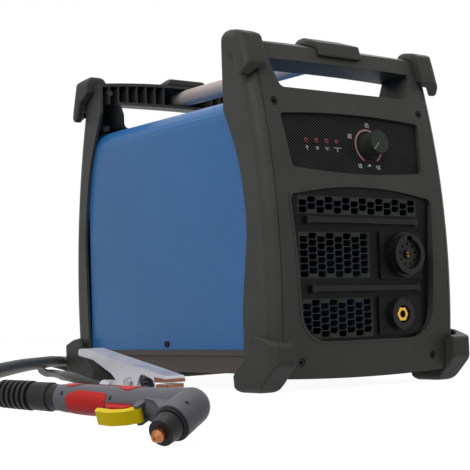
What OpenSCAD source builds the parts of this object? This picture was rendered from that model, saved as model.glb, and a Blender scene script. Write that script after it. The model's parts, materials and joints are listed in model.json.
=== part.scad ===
// Portable plasma cutter with its hand torch and earth clamp.
// Units are millimetres. X runs across the unit, the front faces -Y and Z is up.
// The origin is on the floor, under the middle of the unit.

/* [Frames] */
// Width over the frame posts
frame_w = 292; // [280:2:310]
// Length between the frame faces where they bulge most
frame_l = 450; // [440:2:480]
// Radius of the bulge of the frame faces, seen from the side
face_r = 1000; // [900:50:1200]
// Height at which the frame faces bulge most
face_mid_z = 122; // [112:2:132]
// Height of the top of the handle bars at mid width
bar_top_z = 420; // [416:1:430]
// Wall of the moulded frames
wall = 4; // [3:0.5:4.5]
// Rounding of the frame posts
post_r = 16; // [12:1:18]
// Distance from the middle of the unit to the inner plane of each handle bar
bar_inner_y = 141; // [136:1:146]

/* [Handle openings] */
// Height of the lower edge of the handle openings
grip_z = 355; // [353:1:358]
// Half width of a handle opening at its lower edge
grip_low = 103; // [96:1:106]
// Half width of a handle opening at its upper edge
grip_high = 113; // [106:1:116]
// Height of a handle opening on its inner side
grip_h = 30; // [26:1:32]

/* [Bumpers] */
// How far the bumpers stand out from the frame
bumper_t = 12; // [9:1:14]
// Width of a bumper, from its inner end to the outer side of the unit
bumper_w = 32; // [28:1:36]
// Height of the bumper tops
bumper_top_z = 426; // [424:1:430]
// Length of a foot bumper's flat sole
sole_l = 38; // [30:1:44]

/* [Case] */
// Length of the cover and the base pan
case_l = 372; // [366:2:376]
// Height of the top of the cover
cover_z = 348; // [340:1:350]
// Thickness of the cover sheet
cover_t = 1.5; // [1:0.1:2]
// Bend radius of the cover's top edges
cover_r = 25; // [15:1:35]
// Clearance between the cover and the frame walls
cover_gap = 1; // [0.6:0.1:1.5]
// Height of the underside of the base pan
pan_z = 21; // [20.5:0.5:24]
// Thickness of the base pan
pan_t = 2; // [1.5:0.5:3]
// Height of the lower edge of the base pan's lip
lip_z = 42; // [38:1:46]
// Height of the base pan's lip
lip_h = 6.5; // [5:0.5:9]

/* [Carrying tube] */
// Diameter of the carrying tube
tube_d = 23; // [20:0.5:25]
// Height of the axis of the carrying tube
tube_z = 404; // [400:0.5:404]
// Length of the carrying tube inside each bar
tube_seat = 36; // [32:1:38]

/* [Control panel] */
// Height of the middle of the control panel
panel_z = 290; // [286:1:294]
// Half width of the control panel at its upper edge
panel_high = 111; // [106:1:114]
// Half width of the control panel at its lower edge
panel_low = 104; // [98:1:108]
// Height of the control panel at its sides
panel_h = 65; // [60:1:68]
// Depth of the control panel under the frame's face
panel_in = 5; // [4:0.5:6]
// Thickness of the control panel
panel_t = 2; // [1.5:0.5:3]
// Diameter of the current knob
knob_d = 30; // [26:0.5:32]
// Height of the current knob
knob_h = 20; // [14:0.5:24]
// Distance of the current knob from the middle of the panel
knob_x = 25; // [20:1:40]
// Diameter of the indicator lights
light_d = 3.4; // [2:0.2:5]
// Distance between two indicator lights
light_step = 15.8; // [12:0.2:18]

/* [Front grille] */
// Height of the lower edge of the grille opening
grille_z = 55.5; // [52:0.5:60]
// Half width of the grille opening at its upper edge
grille_high = 113; // [108:1:116]
// Half width of the grille opening at its lower edge
grille_low = 103; // [98:1:106]
// Height of the grille opening at its sides
grille_h = 172; // [168:1:174]
// Thickness of the grille plate
grille_t = 3; // [2.5:0.5:4]
// Distance from the middle of the unit to the front of the grille plate
grille_y = 216; // [215:0.5:217]
// Distance between two columns of honeycomb cells
cell_x = 13.4; // [13:0.2:14]
// Distance between two honeycomb cells in a column
cell_z = 8.1; // [7.8:0.1:8.6]
// Width of the webs between the honeycomb cells
web = 0.9; // [0.8:0.1:1.2]
// How far the honeycomb cells reach into the columns beside them
cell_point = 1.4; // [1:0.1:2]

/* [Sockets] */
// Distance of the torch socket from the middle of the unit
torch_socket_x = 63; // [60:1:66]
// Height of the torch socket
torch_socket_z = 157; // [155:1:159]
// Outer diameter of the torch socket
torch_socket_d = 55; // [50:1:56]
// Diameter of the insert in the torch socket
insert_d = 36; // [30:1:38]
// Distance of the earth socket from the middle of the unit
earth_socket_x = 54; // [52:1:58]
// Height of the earth socket
earth_socket_z = 84.5; // [82:0.5:86]
// Diameter of the earth socket's flange
earth_socket_d = 39; // [36:1:42]
// Bore of the brass earth contact
earth_bore = 9; // [8:0.5:10]

/* [Rear panel] */
// Side of the square fan
fan_w = 120; // [110:2:124]
// Depth of the fan
fan_t = 25; // [20:1:30]
// Distance of the fan from the middle of the unit
fan_x = 43; // [42:1:48]
// Height of the fan's axis
fan_z = 150; // [140:1:160]
// Number of fan blades
blades = 7; // [5:1:9]

/* [Hand torch] */
// Length of the ribbed boot on the torch lead
boot_l = 55; // [45:1:60]
// Length of the torch handle from the boot to the axis of its head
handle_l = 113; // [110:1:125]
// Diameter of the torch handle at its middle
handle_d = 25; // [23:0.5:27]
// Diameter of the torch head
head_d = 27; // [25:0.5:29]
// Length of the torch head below the axis of the handle
head_l = 25; // [23:0.5:28]
// Length of the nozzle cap
cap_l = 15; // [12:0.5:18]
// Length of the tip in front of the cap
tip_l = 8; // [6:0.5:10]
// Travel of the torch trigger
trigger_travel = 2; // [1:0.5:2.5]

/* [Earth clamp] */
// Length of the clamp behind its pin
clamp_rear = 72; // [65:1:80]
// Length of the clamp in front of its pin
clamp_front = 50; // [45:1:55]
// Half of the distance between the ends of the clamp's arms
clamp_open = 30; // [26:1:34]
// Width of the upper arm of the clamp
clamp_w = 21.5; // [20:0.5:24]
// Thickness of the clamp's steel
clamp_t = 1.5; // [1.2:0.1:2]
// Diameter of the clamp's pin
clamp_pin_d = 6; // [5:0.5:7]

/* [Cords] */
// Diameter of the torch lead
lead_d = 14.4; // [12:0.2:15]
// Diameter of the earth cable
cable_d = 9.6; // [8:0.2:10]

/* [Hidden] */
half_w = frame_w / 2;
half_l = frame_l / 2;
case_half = case_l / 2;
case_x = half_w - wall - cover_gap;
fit = 0.3;
bow_steps = 16;
arc_steps = 6;
edge_steps = 4;

// Depth behind the fullest point of the face, and height, along each frame's inner edge
front_edge = [[62, 0], [58, 60], [58, 95], [51.5, 141], [46, 187], [50, 234], [62, 282], [84, 332]];
rear_edge = [[44, 0], [38.5, 56], [37, 90], [35, 145], [34.5, 201], [41.5, 256], [55, 310], [84, 372]];

frame_low_z = 16;
frame_low_bow = -4.2;
bar_bow = 8;
tube_open = 24;
bar_crest = 11;
bar_slope = 20;
grip_bow = 2;
grip_tilt = 5;
grip_corner = 8.5;
cavity_top = bar_top_z - wall;

top_screw = [117, 336.5];
low_screw = [105, 33];
screw_d = 5;
screw_head_d = 9;
screw_head_h = 4;
screw_recess = 5;
boss_d = 14;

bumper_corner = 12;
bumper_lap = 46;
bumper_x = half_w + bumper_t - bumper_w;
bumper_out = half_w + bumper_t;
pocket_gap = 6;

rib_t = 1.8;
rib_step = 15;
rib_clear = 34;

panel_tilt = asin((panel_z - face_mid_z) / face_r);
panel_bow = 5;
panel_ledge = 5;
light_row_x = -50;
shaft_d = 6;

collar_t = 3;
seat_y = grille_y - 2;
flange_w = 6;
rib_y = 222;
pad_t = 3;
zone_top = [-91, 88, 209, 2];
zone_mid = [-91.5, 11, 134, 6];
zone_low = [-89.5, 11, 64, 5];

rear_open = [105, 60, 232];
cover_screw_z = 56;
pan_x = case_x - cover_t - 0.2;
pan_top = 68;
lip_out = 0.6;
torch_body_d = torch_socket_d - 11;
earth_body_d = earth_socket_d - 7;
socket_front = grille_y + 16;
insert_back = 204;
earth_contact_d = 16;
light_z = 3;
board_y = 14;
panel_rear_t = 2.5;
switch_at = [52, 95];
gland_at = [85, 92];
knob_at = [70, 150];
gauge_at = [70, 200];
fan_front = seat_y - panel_rear_t;
fan_bore = fan_w - 8;
fan_hub = 40;
fan_shaft = 5;
// Tilt of the rocker in its off position
rocker_tilt = 8;
regulator_d = 30;
deck = pan_z + pan_t;
board_z = 182;
pillar_at = [118, 110];
sink_x = 108;
torch_at = [-594, -457, 34];
torch_turn = [-68, 3, -67];
elbow_x = boot_l + handle_l;
passage_d = handle_d - 9;
pad_depth = 1.2;
trigger_x = boot_l + 50;
trigger_l = 22;
trigger_w = 8;
trigger_top = -8.5;
// Screw recesses of the handle, as [distance along the torch, height, half width of the handle there]
handle_screws = [[boot_l + 8, -7, 7.8], [boot_l + 52, -8.6, 7.4], [elbow_x + 8, -14.5, 10.9]];
lever_pin = [trigger_x + trigger_l + 8, -handle_d / 2 - 4];
lever_pin_d = 2.5;
lever_w = 10.5;
// Depth to which the lead goes into the boot
lead_in = 12;
clamp_at = [-428, -384, 32];
clamp_turn = [0, 0, -83];
jaw_gap = 1;
// Height of an arm's back at its jaw
clamp_jaw_z = 6;
lower_w = clamp_w - 2 * clamp_t - 0.6;
crimp_x = -48;
crimp_z = -5;
crimp_l = 14;
crimp_in = 10;
spring_wire = 1.6;
spring_turns = 4;
spring_r = clamp_pin_d / 2 + 1.8;
spring_step = spring_wire + 0.6;
coil_turns = 5.25;
lead_coil_at = [50, 370];
lead_coil_r = 92;
lead_tail = 86;
cable_coil_at = [225, 345];
cable_coil_r = 62;
cable_tail = 56;

// ---- Curves and outlines ----

// Distance from the middle of the unit to the frame's face at height z
function face(z) = half_l - face_r + sqrt(face_r * face_r - (z - face_mid_z) * (z - face_mid_z));

// A shallow arch of points between -half and half
function bow(half, edge, rise) =
    [for (i = [0:bow_steps])
        let (x = -half + 2 * half * i / bow_steps)
        [x, edge + rise * (1 - pow(x / half, 2))]];

function reversed(list) = [for (i = [len(list) - 1:-1:0]) list[i]];

// The arc that rounds the corner b between a and c
function corner(a, b, c, r) =
    let (u = (a - b) / norm(a - b), v = (c - b) / norm(c - b), half = acos(u * v) / 2)
    let (m = b + (u + v) / norm(u + v) * r / sin(half))
    let (p = b + u * r / tan(half) - m, q = b + v * r / tan(half) - m)
    let (a0 = atan2(p[1], p[0]), turn = (atan2(q[1], q[0]) - a0 + 540) % 360 - 180)
    [for (i = [0:arc_steps]) m + r * [cos(a0 + turn * i / arc_steps), sin(a0 + turn * i / arc_steps)]];

// A closed outline from points [x, y, corner radius]
function rounded(p) =
    let (n = len(p))
    [for (i = [0:n - 1])
        let (a = p[(i + n - 1) % n], b = p[i], c = p[(i + 1) % n])
        each b[2] == 0 ? [[b[0], b[1]]] : corner([a[0], a[1]], [b[0], b[1]], [c[0], c[1]], b[2])];

// A smooth curve through the points, with so many steps between two of them
function smooth(p, steps) =
    let (n = len(p))
    concat([for (i = [0:n - 2], k = [0:steps - 1])
        let (a = p[max(i - 1, 0)], b = p[i], c = p[i + 1], d = p[min(i + 2, n - 1)], t = k / steps)
        let (quad = 2 * a - 5 * b + 4 * c - d, cubic = 3 * b - a - 3 * c + d)
        0.5 * (2 * b + (c - a) * t + quad * t * t + cubic * t * t * t)],
        [p[n - 1]]);

// ---- Placing helpers ----

// Extrudes a YZ outline across the unit
module along_x(x0, x1) {
    translate([x0, 0, 0]) rotate([90, 0, 90]) linear_extrude(x1 - x0) children();
}

// Extrudes an XZ outline between two Y planes
module along_y(y0, y1) {
    translate([0, y1, 0]) rotate([90, 0, 0]) linear_extrude(y1 - y0) children();
}

// A cylinder along Y between two Y planes
module rod_y(x, z, d, y0, y1) {
    translate([x, y1, z]) rotate([90, 0, 0]) cylinder(d = d, h = y1 - y0, $fn = 64);
}

module mirror_rear() {
    mirror([0, 1, 0]) children();
}

module panel_place() {
    translate([0, panel_in - face(panel_z), panel_z]) rotate([-panel_tilt, 0, 0]) children();
}

// ---- Frames ----

// Section of the bulging frame body: radius across, unit width up
module barrel_section(r, w, c) {
    depth = 140;
    translate([r - depth, -w]) square([depth - c, 2 * w]);
    translate([r - depth, c - w]) square([depth, 2 * (w - c)]);
    translate([r - c, c - w]) circle(c, $fn = 64);
    translate([r - c, w - c]) circle(c, $fn = 64);
}

// The bulging front body without its ends, grown by a distance
module barrel(grow, c) {
    span = 40;
    translate([0, face_r - half_l, face_mid_z]) rotate([0, -90, 0]) rotate([0, 0, 270 - span / 2])
        rotate_extrude(angle = span, $fn = 720) barrel_section(face_r + grow, half_w + grow, c);
}

function edge_y(edge) = [for (p = smooth(edge, edge_steps)) [p[0] - half_l, p[1]]];

// Side outline over a handle bar from y: flat to its crest, then sloping down to the face
function bar_side(y, grow) =
    let (top = bar_top_z + grow + 0.5, crest = [-bar_inner_y - bar_crest, top], reach = half_l + 60)
    let (low = [-reach, top - (reach + crest[0]) * tan(bar_slope)])
    concat([[y, top]], corner([y, top], crest, low, 18), [low]);

// Side outline that limits a frame's depth
function frame_side(edge, grow) =
    concat([[-half_l - 60, -10]], [for (p = edge_y(edge)) [p[0] + grow, p[1]]],
        [[grow - bar_inner_y, 374]], bar_side(grow - bar_inner_y, grow));

// Front outline with its bowed lower and upper edges
function frame_front(grow) =
    concat(bow(half_w + grow, frame_low_z - grow, frame_low_bow),
        reversed(bow(half_w + grow, bar_top_z + grow - bar_bow, bar_bow)));

module frame_body(edge, grow) {
    intersection() {
        barrel(grow, post_r + grow);
        along_x(-half_w - 30, half_w + 30) polygon(frame_side(edge, grow));
        along_y(-half_l - 50, -80) polygon(frame_front(grow));
    }
}

module frame_cavity() {
    intersection() {
        barrel(-wall, post_r - wall);
        along_y(-half_l - 50, -80) polygon(frame_front(-wall));
        along_x(-half_w, half_w)
            polygon(concat([[-half_l - 60, -10], [-60, -10]], bar_side(-60, -wall)));
    }
}

// Outline of the handle opening on its inner side
function grip_outline(grow) =
    let (low = rounded([[-grip_low - grow, grip_z - grow, grip_corner + grow],
        [grip_low + grow, grip_z - grow, grip_corner + grow],
        [grip_high + grow, grip_z + grip_h + grow, 0], [-grip_high - grow, grip_z + grip_h + grow, 0]]))
    concat([for (i = [0:2 * arc_steps + 1]) low[i]],
        reversed(bow(grip_high + grow, grip_z + grip_h + grow, grip_bow)));

// The handle opening: its upper side rises towards the face
module grip_space(grow) {
    along_y(-half_l - 50, -80) polygon(grip_outline(grow));
    translate([0, -bar_inner_y, grip_z + grip_h]) rotate([-grip_tilt, 0, 0]) translate([0, 0, -grip_z - grip_h])
        along_y(-100, 0) polygon(grip_outline(grow));
}

// The grown handle opening in one piece, which leaves the wall round it
module grip_rim() {
    intersection() {
        grip_space(wall);
        along_y(-half_l - 50, -bar_inner_y) square([2 * half_w, 2 * bar_top_z], center = true);
    }
}

// Ribs across the open inner side of the handle bar
module bar_ribs() {
    for (x = [rib_clear + rib_step / 2:rib_step:half_w - wall], s = [-1, 1])
        translate([s * x - rib_t / 2, -half_l, grip_z + grip_h]) cube([rib_t, half_l - bar_inner_y, 60]);
    for (s = [-1, 1], z = [grip_z - 3, grip_z + 45])
        rod_y(s * (half_w - 16), z, 8, -half_l, -bar_inner_y);
}

// Block deep in the bar that holds the carrying tube
module tube_boss() {
    w = tube_d + 2 * wall;
    translate([-w / 2, -half_l, grip_z + grip_h]) cube([w, half_l - bar_inner_y - tube_open, 60]);
}

module screw_places() {
    for (s = [-1, 1], p = [top_screw, low_screw]) translate([s * p[0], 0, p[1]]) children();
}

module frame_bosses() {
    screw_places() rod_y(0, 0, boss_d, -half_l, -case_half);
}

// Recess for a screw's head, and its hole
module screw_cuts() {
    for (s = [-1, 1], p = [top_screw, low_screw]) {
        rod_y(s * p[0], p[1], screw_head_d + 1.5, -half_l - 20, screw_recess - face(p[1]));
        rod_y(s * p[0], p[1], screw_d + 0.4, -half_l, -100);
    }
}

// Fine double groove down the face of each post
module post_grooves() {
    span = 19;
    for (s = [-1, 1], x = [half_w - 13, half_w - 8.5])
        translate([0, face_r - half_l, face_mid_z]) rotate([0, -90, 0]) rotate([0, 0, 266.5])
            rotate_extrude(angle = span, $fn = 720) translate([face_r - 1, -s * x - 0.6]) square([4, 1.2]);
}

// Shell that both frames share, built at the front
module frame_shell(edge) {
    difference() {
        frame_body(edge, 0);
        frame_cavity();
    }
    intersection() {
        frame_body(edge, 0);
        union() {
            grip_rim();
            bar_ribs();
            tube_boss();
            frame_bosses();
            children();
        }
    }
}

module frame_cuts() {
    grip_space(0);
    screw_cuts();
    post_grooves();
    rod_y(0, tube_z, tube_d + 0.2, -bar_inner_y - tube_seat, -bar_inner_y + 20);
}

function panel_outline(grow) =
    let (h = panel_h / 2 + grow)
    concat(reversed(bow(panel_high - 3 + grow, h, panel_bow)),
        [[-panel_high - grow, h - 3], [-panel_low - grow, 3 - h]],
        bow(panel_low - 3 + grow, -h, -panel_bow),
        [[panel_low + grow, 3 - h], [panel_high + grow, h - 3]]);

function grille_outline(grow) =
    let (top = grille_z + grille_h + grow, low = grille_z - grow)
    let (a = [grille_high + grow, top, 8])
    rounded([[-grille_low - grow, low, 38], [grille_low + grow, low, 38], a, [-a[0], a[1], a[2]]]);

// The grille opening with its arched upper edge
module grille_shape(grow) {
    polygon(grille_outline(grow));
    polygon(bow(grille_high - 6 + grow, grille_z + grille_h - 1 + grow, 11));
}

module front_frame() {
    color("#40403f") difference() {
        union() {
            frame_shell(front_edge) {
                panel_place() along_y(-20, panel_t + 3) polygon(panel_outline(wall));
                along_y(-half_l - 20, -seat_y) grille_shape(collar_t);
            }
            intersection() {
                barrel(0.8, post_r + 0.8);
                along_y(-half_l - 20, -seat_y - 2) grille_shape(2.5);
            }
        }
        frame_cuts();
        panel_place() along_y(-30, panel_t) polygon(panel_outline(0));
        panel_place() along_y(-30, 30) polygon(panel_outline(-panel_ledge));
        along_y(-half_l - 40, -100) grille_shape(0);
        along_y(-seat_y, -100) grille_shape(flange_w + fit);
    }
}

module rear_opening(grow) {
    x = rear_open[0] + grow;
    low = rear_open[1] - grow;
    top = rear_open[2] + grow;
    polygon(rounded([[-x, low, 20], [x, low, 20], [x, top, 14], [-x, top, 14]]));
}

module rear_frame() {
    color("#40403f") mirror_rear() difference() {
        frame_shell(rear_edge) along_y(-half_l - 20, -seat_y) rear_opening(collar_t);
        frame_cuts();
        along_y(-half_l - 40, -100) rear_opening(0);
    }
}

// ---- Bumpers ----

// Side outline of a top bumper; its front is left to the barrel
function top_bumper_side() =
    let (t = bumper_top_z, y = -bar_inner_y - 15)
    rounded([[y, t, 6], [y, t - 25, 3], [y - 9, t - 30, 3], [y - 22, t - 36, 6], [y - 32, t - 61, 3],
        [y - 38, t - 61, 3], [y - 48, t - bumper_lap, 4], [y - 73, t - bumper_lap, 0],
        [y - 36, t - 10, 0], [y - 28, t - 6, 0]]);

// Side outline of a foot bumper
function foot_bumper_side() =
    let (y = -half_l)
    rounded([[y + 66, 19, 3], [y + 64, 4, 4], [y + 58, 0, 4], [y + 58 - sole_l, 0, 12], [y - 15, 33, 12],
        [y - 13, 54, 5], [y + 13, 63, 4], [y + 34, 66, 3], [y + 37, 49, 3], [y + 48, 34, 4], [y + 59, 28, 4]]);

module top_bumper(edge, sx) {
    x = sx > 0 ? bumper_x : -bumper_out;
    w = bumper_w;
    t = bumper_top_z;
    color("#434342") difference() {
        intersection() {
            barrel(bumper_t, bumper_corner);
            along_x(x, x + w) polygon(top_bumper_side());
            mirror([sx > 0 ? 0 : 1, 0, 0]) along_y(-half_l - 40, -80)
                polygon(rounded([[bumper_x, 350, 0], [bumper_out, 350, 0],
                    [bumper_out, t, 17], [bumper_x, t, 14]]));
        }
        frame_body(edge, fit);
        intersection() {
            frame_body(edge, pocket_gap);
            along_x(x - 1, x + w + 1) translate([-half_l - 40, 300]) square([200, t - bumper_lap - 300]);
        }
    }
}

module foot_bumper(edge, sx) {
    x = sx > 0 ? bumper_x : -bumper_out;
    y = -half_l;
    color("#434342") difference() {
        intersection() {
            along_x(x, x + bumper_w) polygon(foot_bumper_side());
            mirror([sx > 0 ? 0 : 1, 0, 0]) along_y(-half_l - 40, -80)
                polygon(rounded([[bumper_x, 0, 8], [bumper_out, 0, 9], [bumper_out, 90, 0], [bumper_x, 90, 0]]));
            mirror([sx > 0 ? 0 : 1, 0, 0]) translate([0, 0, -5]) linear_extrude(100)
                polygon(rounded([[bumper_x, y - 15, 5], [bumper_out, y - 15, 12], [bumper_out, -80, 0],
                    [bumper_x, -80, 0]]));
        }
        frame_body(edge, fit);
        intersection() {
            frame_body(edge, pocket_gap);
            along_x(x - 1, x + bumper_w + 1) translate([-half_l - 40, 52]) square([200, 100]);
        }
        translate([-case_x - lip_out - fit, -case_half - fit, pan_z - fit])
            cube([2 * (case_x + lip_out + fit), case_half, bumper_top_z]);
    }
}

module top_bumper_front_left() { top_bumper(front_edge, -1); }
module top_bumper_front_right() { top_bumper(front_edge, 1); }
module top_bumper_rear_left() { mirror_rear() top_bumper(rear_edge, -1); }
module top_bumper_rear_right() { mirror_rear() top_bumper(rear_edge, 1); }
module foot_bumper_front_left() { foot_bumper(front_edge, -1); }
module foot_bumper_front_right() { foot_bumper(front_edge, 1); }
module foot_bumper_rear_left() { mirror_rear() foot_bumper(rear_edge, -1); }
module foot_bumper_rear_right() { mirror_rear() foot_bumper(rear_edge, 1); }

// ---- Carrying tube and its caps ----

module saddle_cap(edge) {
    half = 34;
    top = bar_top_z + 10;
    low = bar_top_z - 20;
    crest = -bar_inner_y - bar_crest;
    front = top - (half_l + crest) * tan(bar_slope);
    color("#434342") difference() {
        intersection() {
            barrel(5, post_r + 5);
            along_x(-half - 1, half + 1) polygon(rounded([[-bar_inner_y, top - 1, 3],
                [-bar_inner_y, bar_top_z - 8, 0], [crest - 10, low, 0], [-half_l, low, 0],
                [-half_l, front, 0], [crest, top, 14]]));
            along_y(-half_l, -100) polygon(rounded([[-half, low - 1, 0], [half, low - 1, 0],
                [half, bar_top_z + 2, 4], [half - 7, top + 0.5, 6],
                [7 - half, top + 0.5, 6], [-half, bar_top_z + 2, 4]]));
        }
        frame_body(edge, fit);
        rod_y(0, tube_z, tube_d + 1, -bar_inner_y - tube_seat - 1, -100);
    }
}

module front_saddle_cap() { saddle_cap(front_edge); }
module rear_saddle_cap() { mirror_rear() saddle_cap(rear_edge); }

module carry_tube() {
    reach = bar_inner_y + tube_seat - 0.5;
    tube_wall = 2;
    color("#d8ccc8") difference() {
        rod_y(0, tube_z, tube_d, -reach, reach);
        rod_y(0, tube_z, tube_d - 2 * tube_wall, -reach - 1, reach + 1);
    }
}

// ---- Case ----

function cover_outline(inset) =
    let (x = case_x - inset, top = cover_z - inset)
    rounded([[-x, lip_z + lip_h + fit, 0], [x, lip_z + lip_h + fit, 0], [x, top, cover_r - inset],
        [-x, top, cover_r - inset]]);

module cover() {
    ear = [24, 24];
    color("#466a96") difference() {
        union() {
            difference() {
                along_y(-case_half, case_half) polygon(cover_outline(0));
                along_y(-case_half - 1, case_half + 1) polygon(cover_outline(cover_t));
                translate([-case_x + cover_t, -case_half - 1, 0])
                    cube([2 * (case_x - cover_t), case_l + 2, cover_z / 2]);
            }
            for (s = [-1, 1], e = [-case_half, case_half - cover_t])
                translate([s * top_screw[0] - ear[0] / 2, e, top_screw[1] - ear[1] / 2])
                    cube([ear[0], cover_t, cover_z - cover_t / 2 - top_screw[1] + ear[1] / 2]);
        }
        for (s = [-1, 1]) rod_y(s * top_screw[0], top_screw[1], screw_d + 0.4, -case_half - 5, case_half + 5);
        rotate([0, 90, 0]) translate([-cover_screw_z, 0, -half_w]) cylinder(d = 4.4, h = frame_w, $fn = 48);
    }
}

module base_pan() {
    flange_z = 52;
    color("#4d4742") difference() {
        union() {
            translate([-pan_x, -case_half, pan_z]) cube([2 * pan_x, case_l, pan_t]);
            for (s = [-1, 1]) {
                translate([s * (pan_x - pan_t / 2) - pan_t / 2, -case_half, pan_z])
                    cube([pan_t, case_l, pan_top - pan_z]);
                translate([s > 0 ? pan_x - pan_t / 2 : -case_x - lip_out, -case_half, lip_z])
                    cube([case_x + lip_out - pan_x + pan_t / 2, case_l, lip_h]);
                translate([-pan_x, s * (case_half - pan_t / 2) - pan_t / 2, pan_z])
                    cube([2 * pan_x, pan_t, flange_z - pan_z]);
            }
        }
        for (s = [-1, 1]) rod_y(s * low_screw[0], low_screw[1], screw_d + 0.4, -case_half - 5, case_half + 5);
        rotate([0, 90, 0]) translate([-cover_screw_z, 0, -half_w]) cylinder(d = 3.4, h = frame_w, $fn = 48);
    }
}

// One socket screw along Y at height z, seated in its recess in the front frame
module frame_screw(x, z) {
    head = screw_recess - face(z);
    difference() {
        union() {
            rod_y(x, z, screw_head_d, head - screw_head_h, head);
            rod_y(x, z, screw_d, head - 1, 8 - case_half);
        }
        translate([x, head - screw_head_h - 1, z]) rotate([-90, 0, 0]) cylinder(d = 4.6, h = 3.5, $fn = 6);
    }
}

module frame_screws() {
    color("#1c1c1c") for (m = [0, 1], s = [-1, 1], p = [top_screw, low_screw])
        mirror([0, m, 0]) frame_screw(s * p[0], p[1]);
}

module cover_screws() {
    color("#1c1c1c") for (s = [0, 1]) mirror([s, 0, 0])
        translate([-case_x, 0, cover_screw_z]) rotate([0, 90, 0])
        difference() {
            union() {
                translate([0, 0, -2.2]) cylinder(d = 8, h = 2.2, $fn = 48);
                cylinder(d = 3.2, h = 10, $fn = 48);
            }
            translate([0, 0, -3]) cylinder(d = 3.4, h = 2.2, $fn = 6);
        }
}

// ---- Front grille and sockets ----

// Honeycomb cells of one zone [left, right, lowest row, rows]
module cells(zone) {
    columns = floor((zone[1] - zone[0]) / cell_x);
    for (i = [0:columns], j = [0:zone[3] - 1])
        translate([zone[0] + i * cell_x, zone[2] + (j + (i % 2) / 2) * cell_z]) cell_shape();
}

// One wide cell with a shallow point at each side
module cell_shape() {
    point = (cell_x + cell_point) / 2 - web / 2 - 0.1;
    flat = (cell_x - cell_point) / 2 - web / 2;
    h = (cell_z - web) / 2;
    polygon([[-point, 0], [-flat, -h], [flat, -h], [point, 0], [flat, h], [-flat, h]]);
}

// Bar across the grille with flared ends
module grille_bar(x0, x1, z, h) {
    half = h / 2;
    wide = half + 1.3;
    along_y(-rib_y, -grille_y + 0.5) for (s = [0, 1]) translate([0, z, 0]) mirror([0, s, 0])
        polygon([[x0, -0.1], [x1, -0.1], [x1, wide], [x1 - 3, wide],
            [x1 - 9, half], [x0 + 9, half], [x0 + 3, wide], [x0, wide]]);
}

// Raised plate round a socket
module socket_pad(x0, x1, z0, z1) {
    intersection() {
        along_y(-grille_y - pad_t, -grille_y + 0.5)
            polygon(rounded([[x0, z0, 2], [x1, z0, 2], [x1, z1, 2], [x0, z1, 2]]));
        along_y(-grille_y - pad_t - 1, -grille_y + 1) grille_shape(-0.5);
    }
}

module front_grille() {
    color("#1a1a1a") difference() {
        union() {
            along_y(-grille_y, grille_t - grille_y) grille_shape(-0.4);
            along_y(-seat_y, grille_t - grille_y) grille_shape(flange_w);
            grille_bar(-89, 88, 197.2, 6.4);
            grille_bar(-85, 88, 116.9, 6.4);
            socket_pad(torch_socket_x - 38, torch_socket_x + 32, torch_socket_z - 30, torch_socket_z + 28);
            socket_pad(earth_socket_x - 34, earth_socket_x + 36, earth_socket_z - 24, earth_socket_z + 22);
        }
        along_y(-grille_y - 1, -grille_y + 10) union() {
            cells(zone_top);
            cells(zone_mid);
            cells(zone_low);
        }
        rod_y(torch_socket_x, torch_socket_z, torch_body_d + 0.4, -rib_y - 5, -200);
        rod_y(earth_socket_x, earth_socket_z, earth_body_d + 0.4, -rib_y - 5, -200);
    }
}

module torch_socket() {
    pad = grille_y + pad_t;
    x = torch_socket_x;
    z = torch_socket_z;
    color("#161616") difference() {
        union() {
            rod_y(x, z, torch_socket_d, -pad - 5, -pad);
            rod_y(x, z, torch_socket_d - 6, -socket_front, -pad - 1);
            rod_y(x, z, torch_body_d, -pad - 1, -190);
        }
        rod_y(x, z, insert_d + 0.3, -socket_front - 1, -insert_back);
        rod_y(x, z, insert_d - 8, -insert_back - 1, -180);
        translate([x - 4, -socket_front - 1, z + insert_d / 2 - 2]) cube([8, 12, 6]);
    }
}

module torch_socket_insert() {
    pins = 9;
    pin_ring = 12.5;
    x = torch_socket_x;
    z = torch_socket_z;
    front = socket_front - 5;
    color("#2a2a2c") difference() {
        union() {
            rod_y(x, z, insert_d, -front, -insert_back);
            rod_y(x, z, 11, -front - 3, -front + 1);
        }
        rod_y(x, z, 7, -front - 5, -front + 14);
        for (i = [0:pins - 1])
            rod_y(x + pin_ring * sin(i * 360 / pins), z + pin_ring * cos(i * 360 / pins),
                3.2, -front - 1, -front + 12);
    }
}

module earth_socket() {
    pad = grille_y + pad_t;
    x = earth_socket_x;
    z = earth_socket_z;
    color("#161616") difference() {
        union() {
            rod_y(x, z, earth_socket_d, -pad - 2.5, -pad);
            rod_y(x, z, earth_socket_d - 3, -pad - 7, -pad - 1);
            rod_y(x, z, earth_body_d, -pad - 1, -192);
        }
        rod_y(x, z, earth_contact_d + 5, -pad - 8, -pad + 4);
        rod_y(x, z, earth_contact_d + 0.2, -pad, -180);
    }
}

module earth_socket_contact() {
    x = earth_socket_x;
    z = earth_socket_z;
    front = grille_y + pad_t + 5;
    color("#c8a24a") difference() {
        union() {
            rod_y(x, z, earth_contact_d, -front + 5, -186);
            translate([x, -front + 6, z]) rotate([90, 0, 0]) cylinder(d = earth_contact_d + 2, h = 6, $fn = 6);
        }
        rod_y(x, z, earth_bore, -front - 1, -front + 30);
    }
}

// ---- Control panel ----

module control_panel() {
    color("#151517") panel_place() difference() {
        along_y(0, panel_t) polygon(panel_outline(-fit));
        for (i = [-1.5:1.5]) rod_y(light_row_x + i * light_step, light_z, light_d + 0.2, -5, 10);
        rod_y(knob_x, 0, shaft_d + 1, -5, 10);
    }
}

module control_board() {
    color("#2d5a3a") panel_place() difference() {
        translate([-90, board_y, -24]) cube([180, 1.6, 48]);
        rod_y(knob_x, 0, 8, 0, 30);
    }
    for (s = [-1, 1]) color("#b8b8b0") panel_place() rod_y(s * 84, -18, 6, panel_t, board_y);
}

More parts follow.
